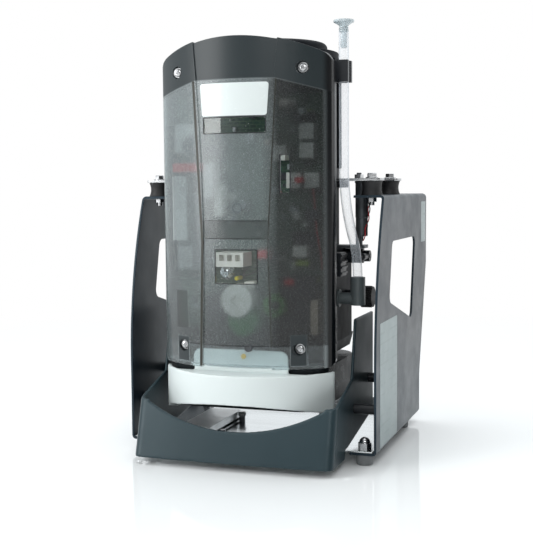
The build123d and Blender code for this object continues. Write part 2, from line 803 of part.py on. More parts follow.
tray_inner_y = tray_rear_y - tray_wall
board_rear_y = tray_inner_y - board_standoff
board_front_y = board_rear_y - board_thickness
tray_inside = extrude(
    arched_front(tray_half_width, cover_bottom, tray_top, cover_crown, cover_corner, tray_wall),
    amount=20 + 2 * tray_depth, dir=(0, -1, 0))
tray_inside = split(tray_inside, bisect_by=Plane.XZ.offset(-tray_inner_y), keep=Keep.TOP)
with BuildPart() as control_tray:
    with BuildSketch(Plane.XY.offset(cover_bottom - 1)):
        with Locations((0, tray_front_y + joint_gap)):
            Rectangle(2 * tray_half_width, tray_depth - joint_gap, align=(Align.CENTER, Align.MIN))
        fillet(vertices().group_by(Axis.Y)[-1], 8)
    extrude(amount=tray_top - cover_bottom + 2)
    add(arched_front(tray_half_width, cover_bottom, tray_top, cover_crown, cover_corner, 0))
    extrude(amount=90, dir=(0, -1, 0), mode=Mode.INTERSECT)
    add(tray_inside, mode=Mode.SUBTRACT)
    for x, z in cover_screw_places:
        with Locations(Location((x, tray_rear_y - 1, z), (90, 0, 0))):
            Cylinder(screw_pocket_radius, tray_depth - 1 - joint_gap,
                     align=(Align.CENTER, Align.CENTER, Align.MIN))
        with Locations(Location((x, tray_front_y + screw_depth + 1, z), (90, 0, 0))):
            Cylinder(screw_radius + thread_gap, 2 * screw_depth,
                     align=(Align.CENTER, Align.CENTER, Align.MIN), mode=Mode.SUBTRACT)
    for x in (-board_post_x, board_post_x):
        for z in (board_bottom + board_post_inset, board_top - board_post_inset):
            with Locations(Location((x, tray_rear_y - 1, z), (90, 0, 0))):
                Cylinder(board_post_radius, tray_wall - 1 + board_standoff,
                         align=(Align.CENTER, Align.CENTER, Align.MIN))
write(control_tray, "control_tray")


def on_board(x, z, width, height, depth):
    """A block standing on the front of the control board."""
    with Locations((x, board_front_y, z)):
        Box(width, depth, height, align=(Align.CENTER, Align.MAX, Align.CENTER))


def can_on_board(x, z, radius, depth):
    """A round can standing on the front of the control board."""
    with Locations(Location((x, board_front_y, z), (90, 0, 0))):
        Cylinder(radius, depth, align=(Align.CENTER, Align.CENTER, Align.MIN))


with BuildPart() as control_board:
    with Locations((0, board_rear_y, board_bottom)):
        Box(2 * board_half_width, board_thickness, board_top - board_bottom,
            align=(Align.CENTER, Align.MAX, Align.MIN))
write(control_board, "control_board")

with BuildPart() as relays:
    for x, z in relay_places:
        on_board(x, z, *relay_size)
write(relays, "relays")

with BuildPart() as capacitors:
    for x, z, radius, depth in capacitor_places:
        can_on_board(x, z, radius, depth)
write(capacitors, "capacitors")

with BuildPart() as terminal_block:
    terminal_x, terminal_z = terminal_place
    on_board(terminal_x, terminal_z, *terminal_size)
    mouth_width, mouth_height, mouth_depth = terminal_mouth
    for step in (-1, 0, 1):
        mouth_x = terminal_x + step * terminal_pitch
        with Locations((mouth_x, board_front_y - terminal_size[2], terminal_z + 2)):
            Box(mouth_width, mouth_depth, mouth_height,
                align=(Align.CENTER, Align.MIN, Align.CENTER), mode=Mode.SUBTRACT)
write(terminal_block, "terminal_block")

with BuildPart() as heat_sink:
    sink_x, sink_z = heat_sink_place
    on_board(sink_x, sink_z, *heat_sink_size)
    for fin in range(fin_count):
        fin_x = sink_x + (fin - (fin_count - 1) / 2) * fin_pitch
        on_board(fin_x, sink_z, *fin_size)
write(heat_sink, "heat_sink")

with BuildPart() as alarm_disc:
    can_on_board(*alarm_place)
write(alarm_disc, "alarm_disc")

with BuildPart() as choke_coil:
    choke_x, choke_z, choke_radius, choke_depth = choke_place
    with Locations(Location((choke_x, board_front_y, choke_z), (90, 0, 0))):
        Cylinder(choke_radius, choke_depth, align=(Align.CENTER, Align.CENTER, Align.MIN))
        Cylinder(choke_bore, choke_depth, align=(Align.CENTER, Align.CENTER, Align.MIN),
                 mode=Mode.SUBTRACT)
write(choke_coil, "choke_coil")


# ================================================================ motor and separator
def motor_disc(radius, bottom, height):
    """A disc round the rotor axis with its front cut flat, as the motor housing is."""
    flat_y = housing_front_y + (motor_radius - radius)
    with BuildSketch(Plane.XY.offset(bottom)) as disc:
        with Locations((0, axis_y)):
            Circle(radius)
        with Locations((0, flat_y)):
            Rectangle(3 * radius, 200, align=(Align.CENTER, Align.MAX), mode=Mode.SUBTRACT)
    extrude(disc.sketch, amount=height)


housing_inner = motor_radius - motor_wall
with BuildPart() as motor_housing:
    motor_disc(motor_radius, motor_bottom, motor_top - motor_bottom)
    with BuildSketch(Plane.XY.offset(arm_bottom)):
        with Locations((0, axis_y)):
            Circle(motor_flange_radius)
        with Locations((0, buffer_y[0] - 13)):
            Rectangle(300, 200, align=(Align.CENTER, Align.MAX), mode=Mode.SUBTRACT)
    extrude(amount=-motor_flange_thickness)
    with BuildSketch(Plane.XY.offset(motor_bottom - 1)):
        with Locations((0, axis_y)):
            Circle(housing_inner)
        with Locations((0, housing_front_y + motor_wall)):
            Rectangle(300, 200, align=(Align.CENTER, Align.MAX), mode=Mode.SUBTRACT)
    extrude(amount=motor_top - motor_bottom + 1 - motor_wall, mode=Mode.SUBTRACT)
    with BuildSketch(Plane.XY.offset(stator_bottom - 5)):
        for rib in range(rib_count):
            with Locations(Location((0, axis_y, 0), (0, 0, rib * 360 / rib_count))):
                with Locations((stator_radius + joint_gap, 0)):
                    Rectangle(housing_inner - stator_radius, rib_width, align=(Align.MIN, Align.CENTER))
        with Locations((0, housing_front_y + motor_wall / 2)):
            Rectangle(300, 200, align=(Align.CENTER, Align.MAX), mode=Mode.SUBTRACT)
    extrude(amount=stator_height + 10)
write(motor_housing, "motor_housing")

with BuildPart() as motor_cap:
    with Locations((0, axis_y, motor_top)):
        Cylinder(cap_radius, cap_height, align=(Align.CENTER, Align.CENTER, Align.MIN))
    fillet(edges().group_by(Axis.Z)[-1], 6)
write(motor_cap, "motor_cap")

with BuildPart() as stator:
    with Locations((0, axis_y, stator_bottom)):
        Cylinder(stator_radius, stator_height, align=(Align.CENTER, Align.CENTER, Align.MIN))
        Cylinder(stator_bore, stator_height, align=(Align.CENTER, Align.CENTER, Align.MIN),
                 mode=Mode.SUBTRACT)
write(stator, "stator")

with BuildPart() as rotor_core:
    with Locations((0, axis_y, stator_bottom)):
        Cylinder(stator_bore - air_gap, stator_height, align=(Align.CENTER, Align.CENTER, Align.MIN))
        Cylinder(shaft_radius, stator_height, align=(Align.CENTER, Align.CENTER, Align.MIN),
                 mode=Mode.SUBTRACT)
write(rotor_core, "rotor_core")

with BuildPart() as motor_shaft:
    with Locations((0, axis_y, shaft_bottom)):
        Cylinder(shaft_radius, shaft_top - shaft_bottom, align=(Align.CENTER, Align.CENTER, Align.MIN))
write(motor_shaft, "motor_shaft")

lower_bearing_z = motor_bottom + plate_thickness - bearing_width
with BuildPart() as bearing_plate:
    motor_disc(housing_inner - seat_gap, motor_bottom, plate_thickness)
    with Locations((0, axis_y, motor_bottom)):
        Cylinder(bearing_radius + thread_gap, plate_thickness,
                 align=(Align.CENTER, Align.CENTER, Align.MIN), mode=Mode.SUBTRACT)
write(bearing_plate, "bearing_plate")

with BuildPart() as upper_bearing_plate:
    motor_disc(housing_inner - seat_gap, upper_plate_bottom, plate_thickness)
    with Locations((0, axis_y, upper_plate_bottom)):
        Cylinder(bearing_radius + thread_gap, plate_thickness,
                 align=(Align.CENTER, Align.CENTER, Align.MIN), mode=Mode.SUBTRACT)
write(upper_bearing_plate, "upper_bearing_plate")

with BuildPart() as bearings:
    for z in (lower_bearing_z, upper_plate_bottom + 2):
        with Locations((0, axis_y, z)):
            Cylinder(bearing_radius, bearing_width, align=(Align.CENTER, Align.CENTER, Align.MIN))
            Cylinder(shaft_radius + running_gap, bearing_width,
                     align=(Align.CENTER, Align.CENTER, Align.MIN), mode=Mode.SUBTRACT)
write(bearings, "bearings")

with BuildPart() as shaft_seal:
    with Locations((0, axis_y, motor_bottom)):
        Cylinder(bearing_radius, plate_thickness - bearing_width,
                 align=(Align.CENTER, Align.CENTER, Align.MIN))
        Cylinder(shaft_radius + running_gap, plate_thickness - bearing_width,
                 align=(Align.CENTER, Align.CENTER, Align.MIN), mode=Mode.SUBTRACT)
write(shaft_seal, "shaft_seal")

with BuildPart() as impeller:
    with Locations((0, axis_y, impeller_bottom)):
        Cylinder(impeller_radius, 3, align=(Align.CENTER, Align.CENTER, Align.MIN))
        Cylinder(impeller_hub, impeller_height, align=(Align.CENTER, Align.CENTER, Align.MIN))
        with PolarLocations(0, blade_count):
            with Locations((impeller_hub - 1, 0)):
                Box(impeller_radius - impeller_hub, blade_thickness, impeller_height,
                    align=(Align.MIN, Align.CENTER, Align.MIN))
    with Locations((0, axis_y, impeller_bottom)):
        Cylinder(shaft_radius, impeller_height, align=(Align.CENTER, Align.CENTER, Align.MIN),
                 mode=Mode.SUBTRACT)
write(impeller, "impeller")

with BuildPart() as turbine_cover:
    motor_disc(housing_inner - seat_gap, turbine_cover_bottom, turbine_cover_thickness)
    with Locations((0, axis_y, turbine_cover_bottom)):
        Cylinder(turbine_eye, turbine_cover_thickness,
                 align=(Align.CENTER, Align.CENTER, Align.MIN), mode=Mode.SUBTRACT)
write(turbine_cover, "turbine_cover")

with BuildPart() as separator_housing:
    with BuildSketch(Plane.XY.offset(separator_bottom)):
        with Locations((0, housing_front_y)):
            Rectangle(2 * separator_half_width, separator_rear_y - housing_front_y,
                      align=(Align.CENTER, Align.MIN))
        fillet(vertices().group_by(Axis.Y)[-1], separator_corner)
    extrude(amount=motor_bottom - separator_bottom)
    with Locations((0, axis_y, outlet_bottom)):
        Cylinder(outlet_radius, separator_bottom - outlet_bottom,
                 align=(Align.CENTER, Align.CENTER, Align.MIN))
    with Locations((0, axis_y, chamber_floor)):
        Cylinder(chamber_radius, motor_bottom - chamber_floor,
                 align=(Align.CENTER, Align.CENTER, Align.MIN), mode=Mode.SUBTRACT)
    with Locations((0, axis_y, outlet_bottom)):
        Cylinder(outlet_radius - outlet_wall, chamber_floor - outlet_bottom,
                 align=(Align.CENTER, Align.CENTER, Align.MIN), mode=Mode.SUBTRACT)
    with Locations(Location((separator_half_width - stub_overlap, knob_y, knob_z), (0, 90, 0))):
        Cylinder(stub_radius, stub_length, align=(Align.CENTER, Align.CENTER, Align.MIN))
write(separator_housing, "separator_housing")

with BuildPart() as separator_drum:
    with Locations((0, axis_y, drum_bottom)):
        Cylinder(drum_radius, drum_height, align=(Align.CENTER, Align.CENTER, Align.MIN))
    with Locations((0, axis_y, drum_bottom - 1)):
        Cylinder(drum_radius - drum_wall, drum_height - drum_wall + 1,
                 align=(Align.CENTER, Align.CENTER, Align.MIN), mode=Mode.SUBTRACT)
    with Locations((0, axis_y, drum_bottom + drum_hub_start)):
        Cylinder(shaft_radius + drum_hub_wall, drum_height - drum_hub_start,
                 align=(Align.CENTER, Align.CENTER, Align.MIN))
    with Locations((0, axis_y, drum_bottom)):
        Cylinder(shaft_radius, drum_height, align=(Align.CENTER, Align.CENTER, Align.MIN),
                 mode=Mode.SUBTRACT)
write(separator_drum, "separator_drum")


def spigot(place, y):
    """A hose spigot pointing to the back from a root at y, with a raised collar at its root."""
    x, z, radius, bore, length = place
    with Locations(Location((x, y, z), (-90, 0, 0))):
        Cylinder(radius, length, align=(Align.CENTER, Align.CENTER, Align.MIN))
        Cylinder(radius + bead_height, bead_length, align=(Align.CENTER, Align.CENTER, Align.MIN))
        Cylinder(bore, length, align=(Align.CENTER, Align.CENTER, Align.MIN), mode=Mode.SUBTRACT)


with BuildPart() as suction_spigot:
    spigot(suction_place, separator_rear_y)
write(suction_spigot, "suction_spigot")

with BuildPart() as drain_spigot:
    spigot(drain_place, separator_rear_y)
write(drain_spigot, "drain_spigot")

with BuildPart() as exhaust_spigot:
    spigot(exhaust_place, axis_y + motor_radius - bead_length)
    with Locations((0, axis_y, motor_bottom)):
        Cylinder(motor_radius, motor_top - motor_bottom,
                 align=(Align.CENTER, Align.CENTER, Align.MIN), mode=Mode.SUBTRACT)
write(exhaust_spigot, "exhaust_spigot")

with BuildPart() as mains_gland:
    gland_x, gland_z = gland_place
    with Locations(Location((gland_x, separator_rear_y, gland_z), (-90, 0, 0))):
        Cylinder(gland_nut_radius, gland_length - 2 * nut_height,
                 align=(Align.CENTER, Align.CENTER, Align.MIN))
        Cylinder(gland_radius, gland_length, align=(Align.CENTER, Align.CENTER, Align.MIN))
        Cylinder(gland_bore, gland_length, align=(Align.CENTER, Align.CENTER, Align.MIN),
                 mode=Mode.SUBTRACT)
write(mains_gland, "mains_gland")


# ================================================================ container and holder
def holder_plan(inset, rear_y):
    """Top view of the holder's bowed band, drawn in by its wall and run past its open back."""
    half = holder_half_width
    side_y = holder_front_y + holder_bow
    with BuildSketch(Plane.XY.offset(holder_end_bottom - 2)) as plan:
        with BuildLine():
            ThreePointArc((-half, side_y), (0, holder_front_y), (half, side_y))
            Polyline((half, side_y), (half, rear_y), (-half, rear_y), (-half, side_y))
        make_face()
        fillet(vertices().filter_by_position(Axis.Y, side_y - 1, side_y + 1), 8)
        if inset:
            offset(amount=-inset, kind=Kind.INTERSECTION)
    return plan.sketch


def holder_front_view():
    """Front view of the band: a level top and an arched lower edge."""
    half = holder_half_width + 1
    with BuildSketch(Plane.XZ.offset(-(holder_rear_y + 1))) as view:
        with BuildLine():
            ThreePointArc((-half, holder_end_bottom), (0, holder_middle_bottom), (half, holder_end_bottom))
            Polyline((half, holder_end_bottom), (half, holder_top), (-half, holder_top),
                     (-half, holder_end_bottom))
        make_face()
    return view.sketch


holder_depth = holder_rear_y - holder_front_y
with BuildPart() as container_holder:
    extrude(holder_plan(0, holder_rear_y), amount=holder_top - holder_end_bottom + 4)
    extrude(holder_front_view(), amount=holder_depth + 2, dir=(0, -1, 0), mode=Mode.INTERSECT)
    extrude(holder_plan(holder_wall, holder_rear_y + holder_wall + 1),
            amount=holder_top - holder_end_bottom + 4, mode=Mode.SUBTRACT)
    with BuildSketch(Plane.XY.offset(holder_top - holder_deck)):
        add(holder_plan(holder_wall / 2, holder_rear_y))
        with Locations((0, tab_y + tab_thickness)):
            Rectangle(3 * holder_half_width, 200, align=(Align.CENTER, Align.MIN), mode=Mode.SUBTRACT)
    extrude(amount=holder_deck)
    with BuildSketch(Plane.XZ.offset(-(tab_y + tab_thickness))):
        with Locations((0, holder_top - holder_deck)):
            Rectangle(2 * tab_half_width, tab_top - holder_top + holder_deck, align=(Align.CENTER, Align.MIN))
        fillet(vertices().group_by(Axis.Y)[-1], 9)
    extrude(amount=tab_thickness, dir=(0, -1, 0))
    for side in (-1, 1):
        rail_x = side * (holder_half_width - holder_wall)
        with Locations((rail_x, holder_rear_y, container_bottom - joint_gap)):
            Box(*container_rail, align=(Align.MAX if side > 0 else Align.MIN, Align.MAX, Align.MAX))
write(container_holder, "container_holder")


def container_plan(inset):
    """Top view of the container, drawn in by its wall."""
    with BuildSketch(Plane.XY.offset(container_bottom)) as plan:
        with Locations((0, (container_front_y + container_rear_y) / 2)):
            RectangleRounded(2 * container_half_width, container_rear_y - container_front_y, container_corner)
        if inset:
            offset(amount=-inset, kind=Kind.INTERSECTION)
    return plan.sketch


neck_radius = outlet_radius + joint_gap + seal_width
float_x, float_y = float_place
float_foot = container_bottom + container_wall
with BuildPart() as collecting_container:
    extrude(container_plan(0), amount=container_top - container_bottom)
    fillet(edges().group_by(Axis.Z)[0], 6)
    container_hollow = container_plan(container_wall)
    extrude(container_hollow.moved(Location((0, 0, container_wall))),
            amount=container_top - container_bottom - 2 * container_wall, mode=Mode.SUBTRACT)
    with Locations((0, axis_y, container_top - container_wall)):
        Cylinder(neck_radius + container_wall, container_wall + neck_height,
                 align=(Align.CENTER, Align.CENTER, Align.MIN))
        Cylinder(neck_radius + joint_gap, container_wall + neck_height,
                 align=(Align.CENTER, Align.CENTER, Align.MIN), mode=Mode.SUBTRACT)
    with Locations((float_x, float_y, float_foot)):
        Cylinder(stem_radius, container_top - container_wall - float_foot,
                 align=(Align.CENTER, Align.CENTER, Align.MIN))
write(collecting_container, "collecting_container")

with BuildPart() as container_seal:
    with Locations((0, axis_y, container_top)):
        Cylinder(neck_radius, seal_height, align=(Align.CENTER, Align.CENTER, Align.MIN))
        Cylinder(outlet_radius + joint_gap, seal_height,
                 align=(Align.CENTER, Align.CENTER, Align.MIN), mode=Mode.SUBTRACT)
write(container_seal, "container_seal")

with BuildPart() as level_float:
    with Locations((float_x, float_y, float_foot + joint_gap)):
        Cylinder(float_radius, float_height, align=(Align.CENTER, Align.CENTER, Align.MIN))
        Cylinder(stem_radius + running_gap, float_height,
                 align=(Align.CENTER, Align.CENTER, Align.MIN), mode=Mode.SUBTRACT)
write(level_float, "level_float")


# ================================================================ service side
hose_route = [
    (hose_x, hose_y, hose_top),
    (hose_x, hose_y, hose_straight_end),
    (hose_x + 2.5, hose_y + 12, hose_straight_end - 42),
    (hose_foot_x, hose_foot_y, hose_foot_z + 36),
    (hose_foot_x, hose_foot_y, hose_foot_z),
]
hose_radii = [120, 120, 50]
with BuildPart() as service_hose:
    with BuildLine() as hose_path:
        FilletPolyline(*hose_route, radius=hose_radii)
    start = Plane(origin=hose_route[0], z_dir=(0, 0, -1))
    with BuildSketch(start):
        Circle(hose_radius)
        Circle(hose_bore, mode=Mode.SUBTRACT)
    sweep(path=hose_path.wires()[0])
write(service_hose, "service_hose")

with BuildPart() as hose_elbow:
    with Locations((hose_foot_x, hose_foot_y, elbow_z - elbow_stub_radius - 1)):
        Cylinder(elbow_radius, elbow_height, align=(Align.CENTER, Align.CENTER, Align.MIN))
    with Locations(Location((separator_half_width, hose_foot_y, elbow_z), (0, 90, 0))):
        Cylinder(elbow_stub_radius, hose_foot_x - separator_half_width,
                 align=(Align.CENTER, Align.CENTER, Align.MIN))
        Cylinder(*elbow_flange, align=(Align.CENTER, Align.CENTER, Align.MIN))
    with Locations((hose_foot_x, hose_foot_y, hose_foot_z)):
        Cylinder(hose_radius + 2 * stud_clearance, elbow_height,
                 align=(Align.CENTER, Align.CENTER, Align.MIN), mode=Mode.SUBTRACT)
write(hose_elbow, "hose_elbow")

plug_cone_z = hose_top + plug_neck_height
plug_flange_z = plug_cone_z + plug_cone_height
with BuildPart() as hose_plug:
    with Locations((hose_x, hose_y, hose_top - plug_depth)):
        Cylinder(hose_bore - clip_gap, plug_depth + 2, align=(Align.CENTER, Align.CENTER, Align.MIN))
    with Locations((hose_x, hose_y, hose_top)):
        Cylinder(hose_radius, plug_neck_height, align=(Align.CENTER, Align.CENTER, Align.MIN))
    with BuildSketch(Plane.XY.offset(plug_cone_z)):
        with Locations((hose_x, hose_y)):
            Circle(hose_radius)
    with BuildSketch(Plane.XY.offset(plug_flange_z)):
        with Locations((hose_x, hose_y)):
            Circle(plug_flange_radius)
    loft()
    with Locations((hose_x, hose_y, plug_flange_z)):
        Cylinder(plug_flange_radius, plug_flange_thickness,
                 align=(Align.CENTER, Align.CENTER, Align.MIN))
write(hose_plug, "hose_plug")

with BuildPart() as hose_clip:
    with Locations((tray_half_width, hose_y, clip_bottom)):
        Box(clip_reach, clip_depth, clip_height, align=(Align.MIN, Align.CENTER, Align.MIN))
    with Locations((hose_x, hose_y, clip_bottom)):
        Cylinder(hose_radius + clip_gap, clip_height, align=(Align.CENTER, Align.CENTER, Align.MIN),
                 mode=Mode.SUBTRACT)
        Box(clip_reach, clip_mouth, clip_height, align=(Align.MIN, Align.CENTER, Align.MIN),
            mode=Mode.SUBTRACT)
write(hose_clip, "hose_clip")

with BuildPart() as valve_box:
    box_y, box_z = box_place
    box_reach, box_depth, _ = box_size
    rib_reach, rib_height = box_rib_size
    with Locations((separator_half_width, box_y, box_z)):
        Box(*box_size, align=(Align.MIN, Align.MIN, Align.MIN))
    for rib in range(box_rib_count):
        with Locations((separator_half_width + box_reach, box_y, box_z + rib_height + box_rib_pitch * rib)):
            Box(rib_reach, box_depth, rib_height, align=(Align.MIN, Align.MIN, Align.MIN))
write(valve_box, "valve_box")

lever_x = separator_half_width + valve_reach
lever_arm_x = lever_x + joint_gap + lever_hub_width / 2
with BuildPart() as drain_valve:
    with Locations(Location((separator_half_width, lever_y, lever_z), (0, 90, 0))):
        Cylinder(valve_body_radius, valve_reach, align=(Align.CENTER, Align.CENTER, Align.MIN))
        Cylinder(spindle_radius, valve_reach + spindle_end, align=(Align.CENTER, Align.CENTER, Align.MIN))
write(drain_valve, "drain_valve")

with BuildPart() as drain_lever:
    with Locations(Location((lever_x + joint_gap, lever_y, lever_z), (0, 90, 0))):
        Cylinder(lever_hub_radius, lever_hub_width, align=(Align.CENTER, Align.CENTER, Align.MIN))
    with Locations(Location((lever_arm_x, lever_y, lever_z), (90, 0, 0))):
        Cylinder(lever_radius, lever_length, align=(Align.CENTER, Align.CENTER, Align.MIN))
    with Locations((lever_arm_x, lever_y - lever_length, lever_z)):
        Sphere(lever_tip_radius)
    with Locations(Location((lever_x, lever_y, lever_z), (0, 90, 0))):
        Cylinder(spindle_radius + running_gap, 4 * lever_hub_width, mode=Mode.SUBTRACT)
write(drain_lever, "drain_lever")

with BuildPart() as union_knob:
    with BuildSketch(Plane.YZ.offset(separator_half_width + knob_foot)):
        with Locations((knob_y, knob_z)):
            Circle(knob_radius - knob_rib_radius)
            with PolarLocations(knob_radius - knob_rib_radius, knob_ribs):
                Circle(knob_rib_radius)
            Circle(stub_radius + running_gap, mode=Mode.SUBTRACT)
    extrude(amount=knob_width)
    with BuildSketch(Plane.YZ.offset(separator_half_width + knob_foot + knob_width)):
        with Locations((knob_y, knob_z)):
            Circle(knob_radius - knob_rib_radius)
    extrude(amount=knob_rim)
write(union_knob, "union_knob")
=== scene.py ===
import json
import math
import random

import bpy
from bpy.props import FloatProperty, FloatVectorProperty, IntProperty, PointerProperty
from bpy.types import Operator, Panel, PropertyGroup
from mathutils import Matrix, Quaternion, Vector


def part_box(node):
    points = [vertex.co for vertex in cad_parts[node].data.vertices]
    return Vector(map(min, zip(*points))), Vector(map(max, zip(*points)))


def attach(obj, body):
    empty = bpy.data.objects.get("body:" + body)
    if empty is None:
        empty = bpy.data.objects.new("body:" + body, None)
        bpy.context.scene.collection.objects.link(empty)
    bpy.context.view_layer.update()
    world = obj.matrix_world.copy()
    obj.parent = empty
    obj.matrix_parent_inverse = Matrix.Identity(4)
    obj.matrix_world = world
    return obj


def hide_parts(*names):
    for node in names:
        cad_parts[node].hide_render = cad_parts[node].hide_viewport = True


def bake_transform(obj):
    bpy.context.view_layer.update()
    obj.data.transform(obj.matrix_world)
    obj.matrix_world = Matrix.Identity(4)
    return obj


bl_info = {
    "name": "Dental suction unit",
    "version": (1, 0, 0),
    "blender": (4, 5, 0),
    "location": "View3D > Sidebar > Suction unit",
    "description": "Finishes and details a dental suction and separator unit around its working frame",
    "category": "Add Mesh",
}

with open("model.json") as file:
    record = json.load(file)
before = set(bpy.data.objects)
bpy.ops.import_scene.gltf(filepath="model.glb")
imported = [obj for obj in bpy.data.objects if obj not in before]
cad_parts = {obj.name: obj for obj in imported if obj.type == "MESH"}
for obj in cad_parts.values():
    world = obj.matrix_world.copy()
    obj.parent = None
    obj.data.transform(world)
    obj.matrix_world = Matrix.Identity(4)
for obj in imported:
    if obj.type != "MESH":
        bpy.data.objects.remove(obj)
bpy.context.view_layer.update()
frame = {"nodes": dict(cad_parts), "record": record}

NODES = frame["nodes"]
SLOT_OF = {part["node"]: part["material_slot"] for part in frame["record"]["subparts"]}
BODY_OF = {node: body for body, nodes in frame["record"]["behaviour"]["bodies"].items() for node in nodes}
MM = 0.001
PLATE_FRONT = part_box("right_side_plate")[0].y
BOARD_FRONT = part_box("control_board")[0].y

# the cover's bowed front: its foremost line, half its width, how far its sides stand back, and its radius
COVER_FRONT = PLATE_FRONT - 47 * MM
COVER_HALF = 106 * MM
COVER_RISE = 45 * MM
COVER_BOW = (COVER_HALF ** 2 + COVER_RISE ** 2) / (2 * COVER_RISE)

JOIN_GAP = 0.02 * MM    # corners of loose triangles nearer than this are one corner
FLAT_TURN = 0.6         # neighbours that turn by fewer degrees than this are one flat face
SHARP_TURN = 32.0       # edges that turn by more degrees than this are rounded
GRAIN_RISE = 0.2 * MM   # how far a finish's fine grain stands up
SUNK = 0.2 * MM         # how far a small part goes into what it sits on


def colour(name, description, default):
    """A colour that a user may change."""
    return FloatVectorProperty(name=name, description=description, subtype="COLOR", size=3,
                               min=0.0, max=1.0, default=default)


def length(name, description, default):
    """A length in metres that a user may change."""
    return FloatProperty(name=name, description=description, default=default, unit="LENGTH", precision=4)


class FinishSettings(PropertyGroup):
    """Colours of the unit's finishes."""

    sheet: colour("Sheet", "Powder coat of the side plates", (0.010, 0.019, 0.028))
    apron: colour("Apron", "Moulded front apron", (0.022, 0.038, 0.045))
    black: colour("Black plastic", "Tray, clips and valves", (0.010, 0.012, 0.015))
    smoke: colour("Smoked cover", "Tint of the see-through front cover", (0.37, 0.42, 0.43))
    tub: colour("Tub", "Tint of the collecting container", (0.010, 0.013, 0.015))
    holder: colour("Holder", "Light band that carries the container", (0.64, 0.70, 0.695))
    name_plate: colour("Name plate", "Blank plate on the cover", (0.65, 0.71, 0.705))
    label: colour("Label", "Blank film label on the side plate", (0.28, 0.34, 0.345))
    board: colour("Board", "Solder resist of the control board", (0.020, 0.058, 0.040))
    hose: colour("Hose", "Clear service hose", (0.80, 0.86, 0.92))
    dot: colour("Level dot", "Dot on the holder's tab", (0.72, 0.46, 0.03))


class SizeSettings(PropertyGroup):
    """Sizes of the details that are added to the frame."""

    sheet_edge: length("Sheet edge", "Rounding of cut sheet edges", 0.0005)
    moulded_edge: length("Moulded edge", "Rounding of moulded edges", 0.0009)
    metal_edge: length("Metal edge", "Rounding of turned and pressed metal", 0.0004)
    hose_diameter: length("Hose diameter", "Outside diameter of the service hose", 0.0116)
    screw_head: length("Screw head", "Radius of a cover screw's head", 0.0046)
    rim_width: length("Rim width", "Width of the raised rim round a window", 0.0011)
    wire: length("Wire", "Diameter of a lead inside the unit", 0.0016)
    chips: IntProperty(name="Chips", description="Small components on the control board", default=90, min=0)


def settings():
    """The sizes that a user may change."""
    return bpy.context.scene.unit_sizes


# ---------------------------------------------------------------- selecting, shading and riding
def nothing_selected():
    """Object mode with nothing selected, ready for a new primitive."""
    if bpy.context.object is not None and bpy.context.object.mode != "OBJECT":
        bpy.ops.object.mode_set(mode="OBJECT")
    bpy.ops.object.select_all(action="DESELECT")


def select_only(piece):
    """Leaves one piece selected and active, in object mode."""
    nothing_selected()
    piece.hide_set(False)
    piece.select_set(True)
    bpy.context.view_layer.objects.active = piece


def edit_all(piece):
    """Opens a piece in edit mode with all of it selected."""
    select_only(piece)
    bpy.ops.object.mode_set(mode="EDIT")
    bpy.ops.mesh.select_all(action="SELECT")


def edit_faces(piece, wanted):
    """Opens a piece in edit mode with only the wanted faces selected."""
    select_only(piece)
    for face in piece.data.polygons:
        face.select = wanted(face)
    bpy.ops.object.mode_set(mode="EDIT")
    bpy.ops.mesh.select_mode(type="FACE")


def edited():
    """Back to object mode."""
    bpy.ops.object.mode_set(mode="OBJECT")


def settle(piece):
    """Moves a piece's place, turn and scale into its mesh."""
    select_only(piece)
    bpy.ops.object.transform_apply(location=True, rotation=True, scale=True)


def apply_modifiers(piece):
    """Applies every modifier in order."""
    select_only(piece)
    for modifier in list(piece.modifiers):
        bpy.ops.object.modifier_apply(modifier=modifier.name)


def smooth(piece, degrees):
    """Shades a piece smooth, apart from edges that turn by more than this."""
    select_only(piece)
    bpy.ops.object.shade_smooth_by_angle(angle=math.radians(degrees))
    return piece


def round_edges(piece, width, steps=2, angle=SHARP_TURN):
    """Rounds the sharp edges and shades the rest smooth."""
    bevel = piece.modifiers.new("edges", "BEVEL")
    bevel.width = width
    bevel.segments = steps
    bevel.limit_method = "ANGLE"
    bevel.angle_limit = math.radians(angle)
    bevel.use_clamp_overlap = False
    bevel.miter_outer = "MITER_ARC"
    apply_modifiers(piece)
    smooth(piece, angle)
    weighted = piece.modifiers.new("even shading", "WEIGHTED_NORMAL")
    weighted.keep_sharp = True
    apply_modifiers(piece)
    return piece


def dressed(piece, slot, material=None):
    """Gives a piece its finish and its slot."""
    piece.data.materials.clear()
    piece.data.materials.append(material or finish(slot))
    return piece


def ride(piece, body, slot, material=None):
    """Gives a piece its finish, its slot and the body that it moves with."""
    dressed(piece, slot, material)
    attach(piece, body)
    return piece


# ---------------------------------------------------------------- shapes from the frame
def merged_copy(node):
    """A copy of a frame part with its loose triangles joined."""
    piece = bpy.data.objects.new(f"{node}_shape", NODES[node].data.copy())
    bpy.context.scene.collection.objects.link(piece)
    select_only(piece)
    bpy.ops.mesh.customdata_custom_splitnormals_clear()
    edit_all(piece)
    bpy.ops.mesh.remove_doubles(threshold=JOIN_GAP)
    edited()
    return piece


def cleaned(node, edge, steps=2, angle=SHARP_TURN):
    """A copy of a frame part with whole flat faces and rounded sharp edges."""
    piece = merged_copy(node)
    edit_all(piece)
    bpy.ops.mesh.dissolve_limited(angle_limit=math.radians(FLAT_TURN), use_dissolve_boundaries=False)
    edited()
    return round_edges(piece, edge, steps, angle) if edge else smooth(piece, angle)


def refined(node, edge, steps=2, material=None, angle=SHARP_TURN):
    """A cleaned copy of a frame part that stands for it on its own body."""
    piece = ride(cleaned(node, edge, steps, angle), BODY_OF[node], SLOT_OF[node], material)
    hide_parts(node)
    return piece


